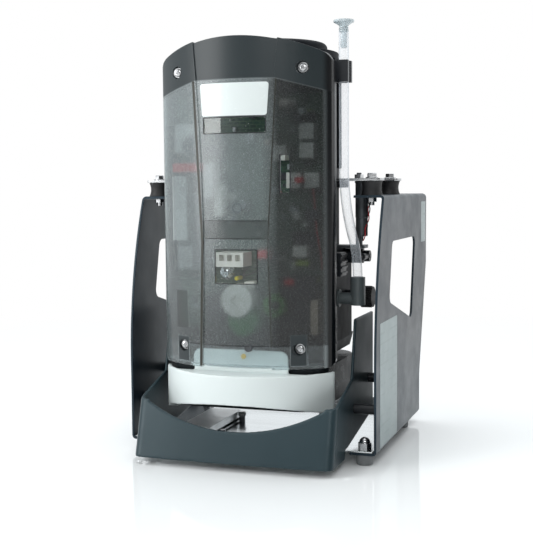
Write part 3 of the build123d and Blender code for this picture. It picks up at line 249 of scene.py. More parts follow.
def softened(node, cell, rounds):
    """A copy of a moulded frame part with every edge melted round, that stands for it."""
    piece = merged_copy(node)
    grid = piece.modifiers.new("even grid", "REMESH")
    grid.mode = "VOXEL"
    grid.voxel_size = cell
    melt = piece.modifiers.new("melt", "SMOOTH")
    melt.factor = 0.5
    melt.iterations = rounds
    apply_modifiers(piece)
    bpy.ops.object.shade_smooth()
    ride(piece, BODY_OF[node], SLOT_OF[node])
    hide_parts(node)
    return piece


# ---------------------------------------------------------------- new shapes
def block(name, low, high, edge=0.0):
    """A box between two corners with rounded edges."""
    low, high = Vector(low), Vector(high)
    nothing_selected()
    bpy.ops.mesh.primitive_cube_add(size=1, location=(low + high) / 2)
    piece = bpy.context.object
    piece.name = name
    piece.scale = high - low
    settle(piece)
    return round_edges(piece, edge) if edge else piece


def turned(name, profile, sides=40, angle=None):
    """A turned piece round the Z axis, raised ring by ring from (radius, height) pairs."""
    nothing_selected()
    radius, height = profile[0]
    bpy.ops.mesh.primitive_circle_add(vertices=sides, radius=radius, fill_type="NGON",
                                      location=(0, 0, height))
    piece = bpy.context.object
    piece.name = name
    settle(piece)
    edit_all(piece)
    for (radius, height), (next_radius, next_height) in zip(profile, profile[1:]):
        bpy.ops.mesh.extrude_region_move(TRANSFORM_OT_translate={"value": (0, 0, next_height - height)})
        ratio = next_radius / radius
        bpy.ops.transform.resize(value=(ratio, ratio, 1), center_override=(0, 0, next_height))
    bpy.ops.mesh.select_all(action="SELECT")
    bpy.ops.mesh.normals_make_consistent(inside=False)
    edited()
    return smooth(piece, angle) if angle else piece


def placed(piece, matrix):
    """Moves a piece to a place and into its mesh."""
    piece.matrix_world = matrix
    settle(piece)
    return piece


def joined(pieces, name):
    """Joins pieces into one."""
    nothing_selected()
    for piece in pieces:
        piece.select_set(True)
    bpy.context.view_layer.objects.active = pieces[0]
    if len(pieces) > 1:
        bpy.ops.object.join()
    whole = bpy.context.view_layer.objects.active
    whole.name = name
    settle(whole)
    return whole


def copies(piece, name, matrices):
    """One piece made of a copy of the given shape at each place; the shape itself goes."""
    made = []
    for matrix in matrices:
        twin = bpy.data.objects.new(name, piece.data.copy())
        bpy.context.scene.collection.objects.link(twin)
        twin.matrix_world = matrix
        made.append(twin)
    bpy.data.objects.remove(piece)
    return joined(made, name)


def cut(piece, cutter):
    """Cuts one piece's shape out of another and removes the cutter."""
    boolean = piece.modifiers.new("cut", "BOOLEAN")
    boolean.operation = "DIFFERENCE"
    boolean.solver = "EXACT"
    boolean.object = cutter
    apply_modifiers(piece)
    bpy.data.objects.remove(cutter)


def smooth_line(name, places, radius, steps, sides):
    """A round curve that follows one smooth line."""
    curve = bpy.data.curves.new(name, "CURVE")
    curve.dimensions = "3D"
    spline = curve.splines.new("NURBS")
    spline.points.add(len(places) - 1)
    for point, place in zip(spline.points, places):
        point.co = (*place, 1)
    spline.order_u = 3
    spline.use_endpoint_u = True
    curve.resolution_u = steps
    curve.bevel_depth = radius
    curve.bevel_resolution = sides
    curve.use_fill_caps = True
    piece = bpy.data.objects.new(name, curve)
    bpy.context.scene.collection.objects.link(piece)
    return piece


def lead(name, places, radius):
    """A thin insulated lead along a smooth line, as a mesh."""
    select_only(smooth_line(name, places, radius, steps=10, sides=4))
    bpy.ops.object.convert(target="MESH")
    piece = bpy.context.object
    piece.name = name
    return smooth(piece, 50)


def facing_front(x, y, z):
    """A place whose own Z axis points to the front."""
    return Matrix.Translation((x, y, z)) @ Matrix.Rotation(math.radians(90), 4, "X")


def upright(x, y, z, degrees):
    """A place turned by some degrees round the upright."""
    return Matrix.Translation((x, y, z)) @ Matrix.Rotation(math.radians(degrees), 4, "Z")


def cover_y(x):
    """The y of the cover's bowed front at a distance x from its middle."""
    return COVER_FRONT + COVER_BOW - math.sqrt(COVER_BOW ** 2 - x * x)


# ---------------------------------------------------------------- finishes
made_finishes = {}


def scaled(base, factor):
    """A colour made darker or lighter."""
    return tuple(min(c * factor, 1) for c in base)


class Nodes:
    """Adds shader nodes to a new material and links them."""

    def __init__(self, name):
        self.material = bpy.data.materials.new(name)
        self.material.use_nodes = True
        self.tree = self.material.node_tree
        self.shader = self.tree.nodes["Principled BSDF"]
        self.place = self.add("ShaderNodeTexCoord").outputs["Object"]

    def add(self, kind, **values):
        node = self.tree.nodes.new(kind)
        for key, value in values.items():
            setattr(node, key, value)
        return node

    def link(self, source, target):
        self.tree.links.new(source, target)

    def fill(self, node, **values):
        """Sets or links a node's sockets by name."""
        for key, value in values.items():
            socket = node.inputs[key.replace("_", " ")]
            if hasattr(value, "is_output"):
                self.link(value, socket)
            else:
                socket.default_value = value

    def set(self, **values):
        """Sets or links the shader's sockets by name."""
        self.fill(self.shader, **values)

    def mapped(self, socket, value):
        """The object's coordinates, scaled or turned."""
        mapping = self.add("ShaderNodeMapping")
        self.fill(mapping, Vector=self.place, **{socket: value})
        return mapping.outputs["Vector"]

    def noise(self, scale, detail=3.0, rough=0.55, vector=None):
        noise = self.add("ShaderNodeTexNoise")
        self.fill(noise, Scale=scale, Detail=detail, Roughness=rough, Vector=vector or self.place)
        return noise.outputs["Fac"]

    def bands(self, scale, distortion):
        """Level bands one above another."""
        wave = self.add("ShaderNodeTexWave", wave_type="BANDS", bands_direction="Z")
        self.fill(wave, Scale=scale, Distortion=distortion, Vector=self.place)
        return wave.outputs["Fac"]

    def drift(self, source, base, spread, start=0.3, end=0.7):
        """A colour that drifts from a darker to a lighter shade."""
        ramp = self.add("ShaderNodeValToRGB")
        stops = ((start, scaled(base, 1 - spread)), (end, scaled(base, 1 + spread)))
        for element, (place, shade) in zip(ramp.color_ramp.elements, stops):
            element.position = place
            element.color = (*shade, 1)
        self.link(source, ramp.inputs["Fac"])
        return ramp.outputs["Color"]

    def ranged(self, source, low, high, start=0.3, end=0.7, soft=False):
        """Turns a value between start and end into one between low and high."""
        node = self.add("ShaderNodeMapRange", interpolation_type="SMOOTHSTEP" if soft else "LINEAR")
        self.fill(node, Value=source, From_Min=start, From_Max=end, To_Min=low, To_Max=high)
        return node.outputs["Result"]

    def maths(self, operation, first, second):
        node = self.add("ShaderNodeMath", operation=operation)
        for socket, value in zip(node.inputs, (first, second)):
            if isinstance(value, (int, float)):
                socket.default_value = value
            else:
                self.link(value, socket)
        return node.outputs[0]

    def plus(self, first, second):
        return self.maths("ADD", first, second)

    def minus(self, first, second):
        return self.maths("SUBTRACT", first, second)

    def times(self, first, second):
        return self.maths("MULTIPLY", first, second)

    def largest(self, first, *others):
        for other in others:
            first = self.maths("MAXIMUM", first, other)
        return first

    def mixed(self, factor, first, second):
        """One colour over another by a factor."""
        node = self.add("ShaderNodeMix", data_type="RGBA")
        self.link(factor, node.inputs["Factor"])
        for socket, value in ((node.inputs[6], first), (node.inputs[7], second)):
            if isinstance(value, (tuple, list)):
                socket.default_value = (*value, 1)
            else:
                self.link(value, socket)
        return node.outputs[2]

    def axes(self):
        split = self.add("ShaderNodeSeparateXYZ")
        self.link(self.place, split.inputs["Vector"])
        return split.outputs["X"], split.outputs["Y"], split.outputs["Z"]

    def bump(self, height, strength):
        """Raises the surface by a height."""
        bump = self.add("ShaderNodeBump")
        self.fill(bump, Strength=strength, Distance=GRAIN_RISE, Height=height)
        self.set(Normal=bump.outputs["Normal"])


def surface(name, base, rough, spread=0.18, mottle=14.0, grain=1900.0, depth=0.10, metallic=0.0,
            coat=0.0, stretch=None, wear=0.0, shine=0.42, gleam=(1.0, 1.0, 1.0)):
    """A general finish: drifting shade, uneven gloss and a fine grain."""
    n = Nodes(name)
    vector = n.mapped("Scale", stretch) if stretch else None
    shade = n.drift(n.noise(mottle, 4.0, 0.6, vector), base, spread)
    fine = n.noise(grain, 2.0, 0.5, vector)
    if wear:
        scuffs = n.ranged(n.noise(90.0, 8.0, 0.72, n.mapped("Scale", (1, 1, 0.25))), 0.0, wear, 0.62, 0.78)
        shade = n.mixed(scuffs, shade, tuple(min(c * 2.2 + 0.02, 1) for c in base))
    gloss = n.ranged(n.noise(mottle * 3.1, 5.0, 0.6, vector), rough[0], rough[1])
    n.set(Base_Color=shade, Roughness=gloss, Metallic=metallic, Specular_IOR_Level=shine,
          Specular_Tint=(*gleam, 1))
    if coat:
        n.set(Coat_Weight=coat, Coat_Roughness=0.12)
    n.bump(fine, depth)
    return n.material


def smoked_cover(name, tint):
    """See-through smoked moulding: black head, frosted fields between a dark groove on the right and painted
    shade along a step on the left, and a clearer foot.
    """
    n = Nodes(name)
    x, _, z = n.axes()
    speckle = n.noise(1400.0, 2.0, 0.6)
    cloud = n.noise(13.0, 3.0, 0.5)

    def within(value, low, high, soft=0.0006):
        return n.times(n.ranged(value, 0.0, 1.0, low - soft, low + soft, True),
                       n.ranged(value, 1.0, 0.0, high - soft, high + soft, True))

    def patch(left, right, low, high):
        return n.times(within(x, left, right), within(z, low, high))

    # the middle field is narrowest at its waist and widens from there, more upwards than downwards
    waist, waist_z, widening_up, widening_down = 0.039, 0.26, 0.0556, -0.0274
    half = n.largest(*(n.plus(n.times(z, slope), waist - waist_z * slope)
                       for slope in (widening_up, widening_down)))
    from_left, from_right = n.plus(x, half), n.minus(x, half)
    # the head's lower edge is level in the middle and falls towards the sides
    level_half, fall = 0.048, 0.26
    outward = n.largest(n.minus(n.maths("ABSOLUTE", x, 0.0), level_half), 0.0)
    below_head = n.ranged(n.plus(z, n.times(outward, fall)), 1.0, 0.0, 0.4425, 0.4455, True)
    foot = n.ranged(z, 1.0, 0.0, 0.1395, 0.1415, True)
    body = n.minus(below_head, foot)
    # painted shade: a dark strip about 4 mm wide along the step at the middle field's left edge, where the
    # step's side lies in shade
    left_step_shade = n.times(within(from_left, -0.0034, 0.0004), within(z, 0.115, 0.444))
    right_groove = n.times(within(from_right, -0.0006, 0.0006, 0.0003), body)
    groove = n.largest(left_step_shade, right_groove)
    middle = n.times(n.ranged(from_left, 0.0, 1.0, -0.001, 0.001),
                     n.ranged(from_right, 1.0, 0.0, -0.001, 0.001))
    ledge = n.times(within(z, 0.2645, 0.2845), middle)
    recess = n.largest(patch(-0.0800, -0.0620, 0.1190, 0.1480), patch(0.0625, 0.0795, 0.1180, 0.1540))
    polished = n.largest(patch(-0.0815, -0.0640, 0.1580, 0.2020), ledge)
    # the field right of the middle lets more through, and its tint below is darkened as painted shade
    right_side = n.ranged(x, 0.0, 1.0, 0.030, 0.052, True)
    # painted shade: past this x the cover's right edge, where its side curves away from the light, is made
    # opaque and nearly black
    rim = n.ranged(x, 0.0, 1.0, 0.0945, 0.1015, True)
    seen = n.times(below_head, n.minus(1.0, n.largest(groove, recess, rim)))

    tinted = n.drift(cloud, tint, 0.10)
    # painted shade: the right field's tint is made much darker, since less light falls on that side
    tinted = n.mixed(n.times(right_side, 0.85), tinted, scaled(tint, 0.30))
    # the polished patches are smoother and darker; on the ledge the darker tint is also painted shade in its
    # recess
    tinted = n.mixed(n.times(polished, 0.8), tinted, scaled(tint, 0.55))
    tinted = n.mixed(foot, tinted, scaled(tint, 1.5))
    # the second, nearly black colour is painted shade for the cover's curved right edge
    head_black, side_shade_black, groove_and_step_shade_black = (0.020, 0.028, 0.031), (0.003, 0.004, 0.005), (0.016, 0.016, 0.010)
    # the groove colour also paints the shade along the step on the left
    black = n.mixed(groove, n.mixed(rim, head_black, side_shade_black), groove_and_step_shade_black)
    n.set(Base_Color=n.mixed(seen, black, tinted))
    # painted light from above: less passes near the top, so more of the lit haze shows there and the fields
    # grow lighter upwards; the right field and the foot let more through
    passed = n.largest(n.ranged(z, 0.94, 0.76, 0.15, 0.44), n.times(right_side, 0.97), n.times(foot, 0.95))
    n.set(Transmission_Weight=n.times(seen, passed))
    frosted = n.times(body, n.minus(1.0, n.times(polished, 0.6)))
    frost = n.plus(0.185, n.times(frosted, n.ranged(speckle, 0.02, 0.10)))
    frost = n.plus(frost, n.times(n.minus(1.0, below_head), 0.16))
    n.set(Roughness=frost, IOR=1.47, Specular_IOR_Level=0.36, Coat_Weight=0.06, Coat_Roughness=0.20)
    n.bump(n.times(frosted, speckle), 0.07)
    return n.material


def clear_moulding(name, tint, rough, passed, cloud=30.0, coat=0.0, spread=0.08, shine=0.5):
    """A tinted clear moulding with a faint cloud in its tint and gloss."""
    n = Nodes(name)
    n.set(Base_Color=n.drift(n.noise(cloud), tint, spread),
          Roughness=n.ranged(n.noise(cloud * 4), rough[0], rough[1]),
          Transmission_Weight=passed, IOR=1.45, Specular_IOR_Level=shine)
    if coat:
        n.set(Coat_Weight=coat, Coat_Roughness=0.08)
    n.bump(n.noise(700.0), 0.03)
    return n.material


def hose_wall(name, tint):
    """Clear hose: faint in the middle, milky and brighter at its edges."""
    n = Nodes(name)
    facing = n.add("ShaderNodeLayerWeight")
    n.fill(facing, Blend=0.42)
    cloud = n.noise(60.0)
    solid = n.ranged(facing.outputs["Facing"], 0.20, 0.92, 0.15, 0.95)
    n.set(Base_Color=n.drift(cloud, tint, 0.06), Alpha=solid, Roughness=n.ranged(cloud, 0.06, 0.14), IOR=1.4,
          Coat_Weight=0.6, Coat_Roughness=0.05)
    n.bump(n.noise(240.0), 0.04)
    return n.material


def circuit_board(name, base):
    """Solder resist with fine tracks running both ways and bright pads."""
    n = Nodes(name)
    copper_under = (base[0] * 3.2, base[1] * 2.0, base[2] * 1.8)
    tracks = n.add("ShaderNodeTexBrick")
    n.fill(tracks, Vector=n.mapped("Rotation", (math.radians(90), 0, 0)), Scale=60.0, Mortar_Size=0.035,
           Color1=(*scaled(base, 0.75), 1), Color2=(*scaled(base, 1.25), 1), Mortar=(*copper_under, 1))
    pads = n.add("ShaderNodeTexVoronoi")
    n.fill(pads, Scale=190.0, Vector=n.place)
    spot = n.ranged(pads.outputs["Distance"], 1.0, 0.0, 0.10, 0.16)
    n.set(Base_Color=n.mixed(spot, tracks.outputs["Color"], (0.55, 0.56, 0.52)),
          Roughness=n.ranged(n.noise(300.0), 0.25, 0.4))
    n.bump(pads.outputs["Distance"], 0.1)
    return n.material


def film_label(name, base):
    """A blank printed film: faint ruled rows and a slightly uneven gloss."""
    n = Nodes(name)
    line = n.ranged(n.bands(26.0, 0.0), 0.0, 0.5, 0.90, 0.96)
    worn = n.ranged(n.noise(38.0, 2.0), 0.0, 1.0, 0.46, 0.52)
    n.set(Base_Color=n.mixed(n.times(line, worn), n.drift(n.noise(24.0), base, 0.05), scaled(base, 0.80)),
          Roughness=n.ranged(n.noise(50.0), 0.34, 0.46))
    n.bump(n.noise(1200.0), 0.05)
    return n.material


def layered(name, base, period):
    """Stacked sheet or wound wire: fine bands one above another."""
    n = Nodes(name)
    bands = n.bands(1.0 / period, 0.6)
    n.set(Base_Color=n.drift(bands, base, 0.35, 0.2, 0.8), Metallic=0.6,
          Roughness=n.ranged(n.noise(80.0), 0.35, 0.5))
    n.bump(bands, 0.3)
    return n.material


def finish(slot):
    """The finish for one of the record's material slots, made once."""
    if slot in made_finishes:
        return made_finishes[slot]
    s = bpy.context.scene.unit_finishes
    looks = {
        "dark_sheet": (surface, dict(
            base=s.sheet, rough=(0.28, 0.40), spread=0.10, mottle=9.0, grain=2300.0, wear=0.06, shine=0.35,
            gleam=(0.78, 0.92, 1.0))),
        "bright_sheet": (surface, dict(
            base=(0.74, 0.77, 0.78), rough=(0.14, 0.24), spread=0.05, mottle=20.0, grain=500.0, depth=0.02,
            metallic=1.0, stretch=(0.2, 2, 2))),
        "steel": (surface, dict(
            base=(0.50, 0.51, 0.52), rough=(0.20, 0.34), spread=0.16, mottle=60.0, grain=900.0, depth=0.05,
            metallic=1.0)),
        "grey_rod": (surface, dict(
            base=(0.10, 0.11, 0.12), rough=(0.30, 0.45), spread=0.2, mottle=40.0, grain=900.0, depth=0.06,
            metallic=0.4)),
        "apron_plastic": (surface, dict(
            base=s.apron, rough=(0.30, 0.40), spread=0.07, mottle=7.0, grain=2100.0, shine=0.34,
            gleam=(0.85, 0.96, 1.0))),
        "black_rubber": (surface, dict(
            base=(0.010, 0.010, 0.011), rough=(0.5, 0.68), spread=0.25, mottle=60.0, grain=1300.0,
            depth=0.16)),
        "grey_rubber": (surface, dict(
            base=(0.17, 0.18, 0.185), rough=(0.5, 0.7), spread=0.15, mottle=60.0, grain=1300.0, depth=0.14)),
        "label_grey": (film_label, dict(base=s.label)),
        "black_plastic": (surface, dict(
            base=s.black, rough=(0.24, 0.38), spread=0.2, mottle=20.0, grain=1700.0, depth=0.09, coat=0.15)),
        "housing_black": (surface, dict(
            base=s.black, rough=(0.45, 0.58), spread=0.25, mottle=16.0, grain=1400.0, depth=0.14,
            shine=0.07)),
        "smoked_clear": (smoked_cover, dict(tint=s.smoke)),
        "clear_plastic": (clear_moulding, dict(
            tint=(0.62, 0.66, 0.66), rough=(0.01, 0.05), passed=1.0, coat=0.4)),
        "white_plate": (surface, dict(
            base=s.name_plate, rough=(0.22, 0.30), spread=0.02, mottle=12.0, grain=1800.0, depth=0.03,
            coat=0.4)),
        "board_green": (circuit_board, dict(base=s.board)),
        "white_plastic": (surface, dict(
            base=(0.66, 0.66, 0.62), rough=(0.35, 0.5), spread=0.08, mottle=50.0, grain=1500.0, depth=0.08)),
        "dark_can": (surface, dict(
            base=(0.030, 0.032, 0.040), rough=(0.25, 0.4), spread=0.2, mottle=60.0, grain=1500.0, depth=0.06,
            coat=0.3)),
        "aluminium": (surface, dict(
            base=(0.60, 0.62, 0.64), rough=(0.25, 0.4), spread=0.1, mottle=40.0, grain=900.0, depth=0.07,
            metallic=1.0, stretch=(3, 3, 0.1))),
        "copper_coil": (layered, dict(base=(0.10, 0.30, 0.07), period=0.02)),
        "laminations": (layered, dict(base=(0.26, 0.27, 0.29), period=0.01)),
        "light_grey": (surface, dict(
            base=s.holder, rough=(0.34, 0.45), spread=0.03, mottle=8.0, grain=2000.0)),
        "smoke_tub": (clear_moulding, dict(
            tint=s.tub, rough=(0.24, 0.36), passed=0.15, cloud=14.0, spread=0.15, shine=0.05)),
        "white_float": (surface, dict(
            base=(0.70, 0.70, 0.68), rough=(0.6, 0.8), spread=0.06, mottle=80.0, grain=700.0, depth=0.2)),
        "clear_hose": (hose_wall, dict(tint=s.hose)),
        "grey_plug": (clear_moulding, dict(
            tint=(0.62, 0.70, 0.73), rough=(0.16, 0.28), passed=0.35, cloud=50.0, coat=0.3, spread=0.06)),
    }
    make, look = looks[slot]
    made_finishes[slot] = make(slot, **look)
    return made_finishes[slot]


def own_finish(name, base, rough, **options):
    """A finish for one added piece, made once."""
    if name not in made_finishes:
        made_finishes[name] = surface(name, base, rough, **options)
    return made_finishes[name]


# ---------------------------------------------------------------- stage and hose first
CAMERA_PLACE = (0.4307, -1.30965, 0.3224)
CAMERA_YAW, CAMERA_PITCH, CAMERA_ROLL = 18.94, 4.75, -0.48
CAMERA_LENS, CAMERA_SHIFT = 70.02, 0.0021

# name, place, what it faces, width and height, watts
LAMPS = (
    ("left_box", (-1.15, -1.20, 0.75), (0, 0, 0.22), (0.8, 1.2), 14),
    ("right_box", (1.5, 0.55, 0.9), (0, 0, 0.25), (0.6, 1.2), 4),
    ("front_box", (0.75, -2.2, 1.35), (0, 0, 0.2), (1.3, 0.8), 16),
    ("top_box", (0.0, 0.15, 1.9), (0, 0, 0.0), (2.4, 1.8), 20),
)

# the room is dark towards this direction and light everywhere else
DARK_DIRECTION = (0.75, -0.66, 0.0)

# the hose's route from the elbow up to the plug: x, distance behind the side plates' front, z
HOSE_ROUTE = (
    (0.118, 62 * MM, 0.204),
    (0.118, 62 * MM, 0.240),
    (0.1135, 37 * MM, 0.280),
    (0.111, 25 * MM, 0.322),
    (0.111, 25 * MM, 0.366),
    (0.111, 25 * MM, 0.499),
)


class SUCTION_OT_stage(Operator):
    """Adds the camera, the floor and the soft lights"""

    bl_idname = "suction.stage"
    bl_label = "Stage"

    def execute(self, context):
        self.add_camera(context.scene)
        nothing_selected()
        bpy.ops.mesh.primitive_plane_add(size=60, location=(0, 0, 0))
        floor = context.object
        floor.name = "floor"
        floor.data.materials.append(self.floor_finish())
        for lamp in LAMPS:
            self.add_lamp(context.scene, *lamp)
        context.scene.world = self.room()
        context.scene.view_settings.view_transform = "Standard"
        context.scene.view_settings.look = "None"
        return {"FINISHED"}

    def add_camera(self, scene):
        """A view from the front right, a little above the unit's middle."""
        data = bpy.data.cameras.new("view")
        camera = bpy.data.objects.new("view", data)
        scene.collection.objects.link(camera)
        yaw, pitch = math.radians(CAMERA_YAW), math.radians(CAMERA_PITCH)
        ahead = Vector((-math.sin(yaw) * math.cos(pitch), math.cos(yaw) * math.cos(pitch), -math.sin(pitch)))
        roll = Quaternion((0, 0, 1), math.radians(CAMERA_ROLL))
        camera.rotation_mode = "QUATERNION"
        camera.rotation_quaternion = ahead.to_track_quat("-Z", "Y") @ roll
        camera.location = CAMERA_PLACE
        data.sensor_fit = "AUTO"
        data.sensor_width = 36.0
        data.lens = CAMERA_LENS
        data.shift_x = CAMERA_SHIFT
        data.clip_start = 0.05
        scene.camera = camera

    def add_lamp(self, scene, name, place, aim, size, watts):
        """A soft box that faces a point."""
        data = bpy.data.lights.new(name, "AREA")
        data.shape = "RECTANGLE"
        data.size, data.size_y = size
        data.energy = watts
        light = bpy.data.objects.new(name, data)
        scene.collection.objects.link(light)
        light.location = place
        light.rotation_mode = "QUATERNION"
        light.rotation_quaternion = (Vector(aim) - Vector(place)).to_track_quat("-Z", "Y")

    def room(self):
        """A white backdrop, and a room that lights the unit from all sides but one."""
        world = bpy.data.worlds.new("studio")
        world.use_nodes = True
        tree = world.node_tree
        backdrop = tree.nodes["Background"]
        backdrop.inputs["Color"].default_value = (1.0, 1.0, 1.0, 1)
        walls = tree.nodes.new("ShaderNodeBackground")
        walls.inputs["Color"].default_value = (0.95, 0.98, 1.0, 1)
        direction = tree.nodes.new("ShaderNodeTexCoord")
        towards_dark = tree.nodes.new("ShaderNodeVectorMath")
        towards_dark.operation = "DOT_PRODUCT"
        towards_dark.inputs[1].default_value = DARK_DIRECTION
        fade = tree.nodes.new("ShaderNodeMapRange")
        fade.interpolation_type = "SMOOTHSTEP"
        for socket, value in (("From Min", 0.0), ("From Max", 0.72), ("To Min", 1.0), ("To Max", 0.05)):
            fade.inputs[socket].default_value = value
        path = tree.nodes.new("ShaderNodeLightPath")
        choice = tree.nodes.new("ShaderNodeMixShader")
        tree.links.new(direction.outputs["Generated"], towards_dark.inputs[0])
        tree.links.new(towards_dark.outputs["Value"], fade.inputs["Value"])
        tree.links.new(fade.outputs["Result"], walls.inputs["Strength"])
        tree.links.new(path.outputs["Is Camera Ray"], choice.inputs["Fac"])
        tree.links.new(walls.outputs["Background"], choice.inputs[1])
        tree.links.new(backdrop.outputs["Background"], choice.inputs[2])
        tree.links.new(choice.outputs["Shader"], tree.nodes["World Output"].inputs["Surface"])
        return world

    def floor_finish(self):
        """White glossy laminate near the unit that turns plain white further off."""
        n = Nodes("floor_white")
        n.set(Base_Color=(0.88, 0.905, 0.91, 1), Roughness=0.06, Specular_IOR_Level=0.34)
        away = n.add("ShaderNodeVectorMath", operation="LENGTH")
        n.link(n.place, away.inputs[0])
        glow = n.add("ShaderNodeEmission")
        glow.inputs["Color"].default_value = (1, 1, 1, 1)
        blend = n.add("ShaderNodeMixShader")
        n.link(n.ranged(away.outputs["Value"], 0.0, 1.0, 0.35, 1.5, True), blend.inputs["Fac"])
        n.link(n.shader.outputs["BSDF"], blend.inputs[1])
        n.link(glow.outputs["Emission"], blend.inputs[2])
        n.link(blend.outputs["Shader"], n.tree.nodes["Material Output"].inputs["Surface"])
        return n.material


class SUCTION_OT_hose(Operator):
    """Adds the clear service hose with its plug, held by the clip above and the elbow below"""

    bl_idname = "suction.hose"
    bl_label = "Service hose and plug"

    def execute(self, context):
        radius = settings().hose_diameter / 2
        places = [(x, PLATE_FRONT + y, z) for x, y, z in HOSE_ROUTE]
        hose = smooth_line("service_hose_wall", places, radius, steps=24, sides=10)
        ride(hose, "unit", "clear_hose")
        hose.visible_shadow = False
        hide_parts("service_hose")
        plug = self.plug(radius)
        return {"FINISHED"}

    def plug(self, radius):
        """The ribbed plug with its flange, standing in the hose's mouth."""
        low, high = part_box("hose_plug")
        centre = (low + high) / 2
        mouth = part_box("service_hose")[1].z
        rim = high.z - mouth
        flange = (high.x - low.x) / 2
        bore = radius * 0.66
        valley = radius * 0.78
        rings = [(bore * 0.8, -0.018), (bore, -0.016), (bore, 0.0), (radius * 0.9, 0.0004)]
        for rib in range(3):
            z = 0.0008 + rib * 0.0018
            rings += [(radius, z), (radius, z + 0.0008), (valley, z + 0.0011), (valley, z + 0.0016)]
        rings += [(radius * 0.84, rim - 0.0080), (radius * 1.1, rim - 0.0058), (flange * 0.86, rim - 0.0036),
                  (flange * 0.97, rim - 0.0030), (flange, rim - 0.0022), (flange, rim - 0.0010),
                  (flange * 0.97, rim - 0.0002), (flange * 0.86, rim), (flange * 0.80, rim - 0.0012),
                  (flange * 0.30, rim - 0.0014), (flange * 0.26, rim - 0.0040)]
        plug = turned("hose_plug_shape", rings, 48, 40)
        placed(plug, Matrix.Translation((centre.x, centre.y, mouth)))
        ride(plug, "hose_plug", "grey_plug")
        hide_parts("hose_plug")
        return plug


# ---------------------------------------------------------------- carrying frame
class SUCTION_OT_side_plates(Operator):
    """Rounds the side plates' cut edges and lays the blank labels on the right-hand one"""

    bl_idname = "suction.side_plates"
    bl_label = "Side plates"

    def execute(self, context):
        for node in ("right_side_plate", "left_side_plate"):
            refined(node, settings().sheet_edge)
        refined("blank_labels", 0)
        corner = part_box("right_side_plate")[1]
        film = 0.18 * MM
        front, back, foot, head = corner.y - 0.0385, corner.y - 0.0085, 0.246, 0.301
        label = block("rear_label", (corner.x - SUNK, front, foot), (corner.x + film, back, head))
        edit_all(label)
        bpy.ops.mesh.subdivide(number_cuts=3)
        edited()
        ride(label, "frame", "label_grey")
        return {"FINISHED"}


class SUCTION_OT_apron(Operator):
    """Gives the front apron its soft moulded edges"""

    bl_idname = "suction.apron"
    bl_label = "Front apron"

    def execute(self, context):
        softened("front_apron", 0.0011, 14)
        refined("apron_spacers", settings().metal_edge)
        return {"FINISHED"}


class SUCTION_OT_base(Operator):
    """Finishes the base pan, its catch, the feet and the nuts, and adds the bright channel and its post"""

    bl_idname = "suction.base"
    bl_label = "Base pan and feet"

    def execute(self, context):
        edge = settings().metal_edge
        refined("base_pan", edge)
        refined("pan_catch", edge)
        refined("feet", settings().moulded_edge, 3)
        refined("foot_nuts", edge)
        refined("foot_studs", 0)

        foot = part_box("pan_catch")[0].z
        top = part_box("collecting_container")[0].z - 0.032
        left, right, front, back = -0.098, -0.056, PLATE_FRONT + 0.012, PLATE_FRONT + 0.122
        wall, depth = 0.0022, 0.008
        channel = block("drip_channel", (left, front, foot), (right, back, top))
        edit_faces(channel, lambda face: face.normal.z > 0.9)
        bpy.ops.mesh.inset(thickness=wall, depth=0.0)
        bpy.ops.mesh.extrude_region_move(TRANSFORM_OT_translate={"value": (0, 0, -depth)})
        edited()
        round_edges(channel, 0.0008, 3)
        post = turned("post", [(0.0040, foot), (0.0040, top - 0.006), (0.0052, top - 0.005),
                               (0.0052, top - 0.001), (0.0044, top), (0.0022, top + 0.0004)], 32, 35)
        placed(post, Matrix.Translation((-0.050, PLATE_FRONT + 0.112, 0)))
        ride(joined([channel, post], "drip_channel"), "frame", "steel",
             own_finish("channel_steel", (0.78, 0.81, 0.82), (0.30, 0.42), metallic=0.55))
        return {"FINISHED"}


def hex_head(name, flats, height, dimple):
    """A hexagon head, its corners turned off and a shallow dimple in its top."""
    corner = flats / math.sqrt(3)
    head = turned(name, [(corner * 0.97, 0.0), (corner, height * 0.10), (corner, height * 0.80),
                         (corner * 0.88, height), (dimple, height), (dimple * 0.9, height * 0.86)], 6)
    return round_edges(head, flats * 0.03, 2, 20.0)


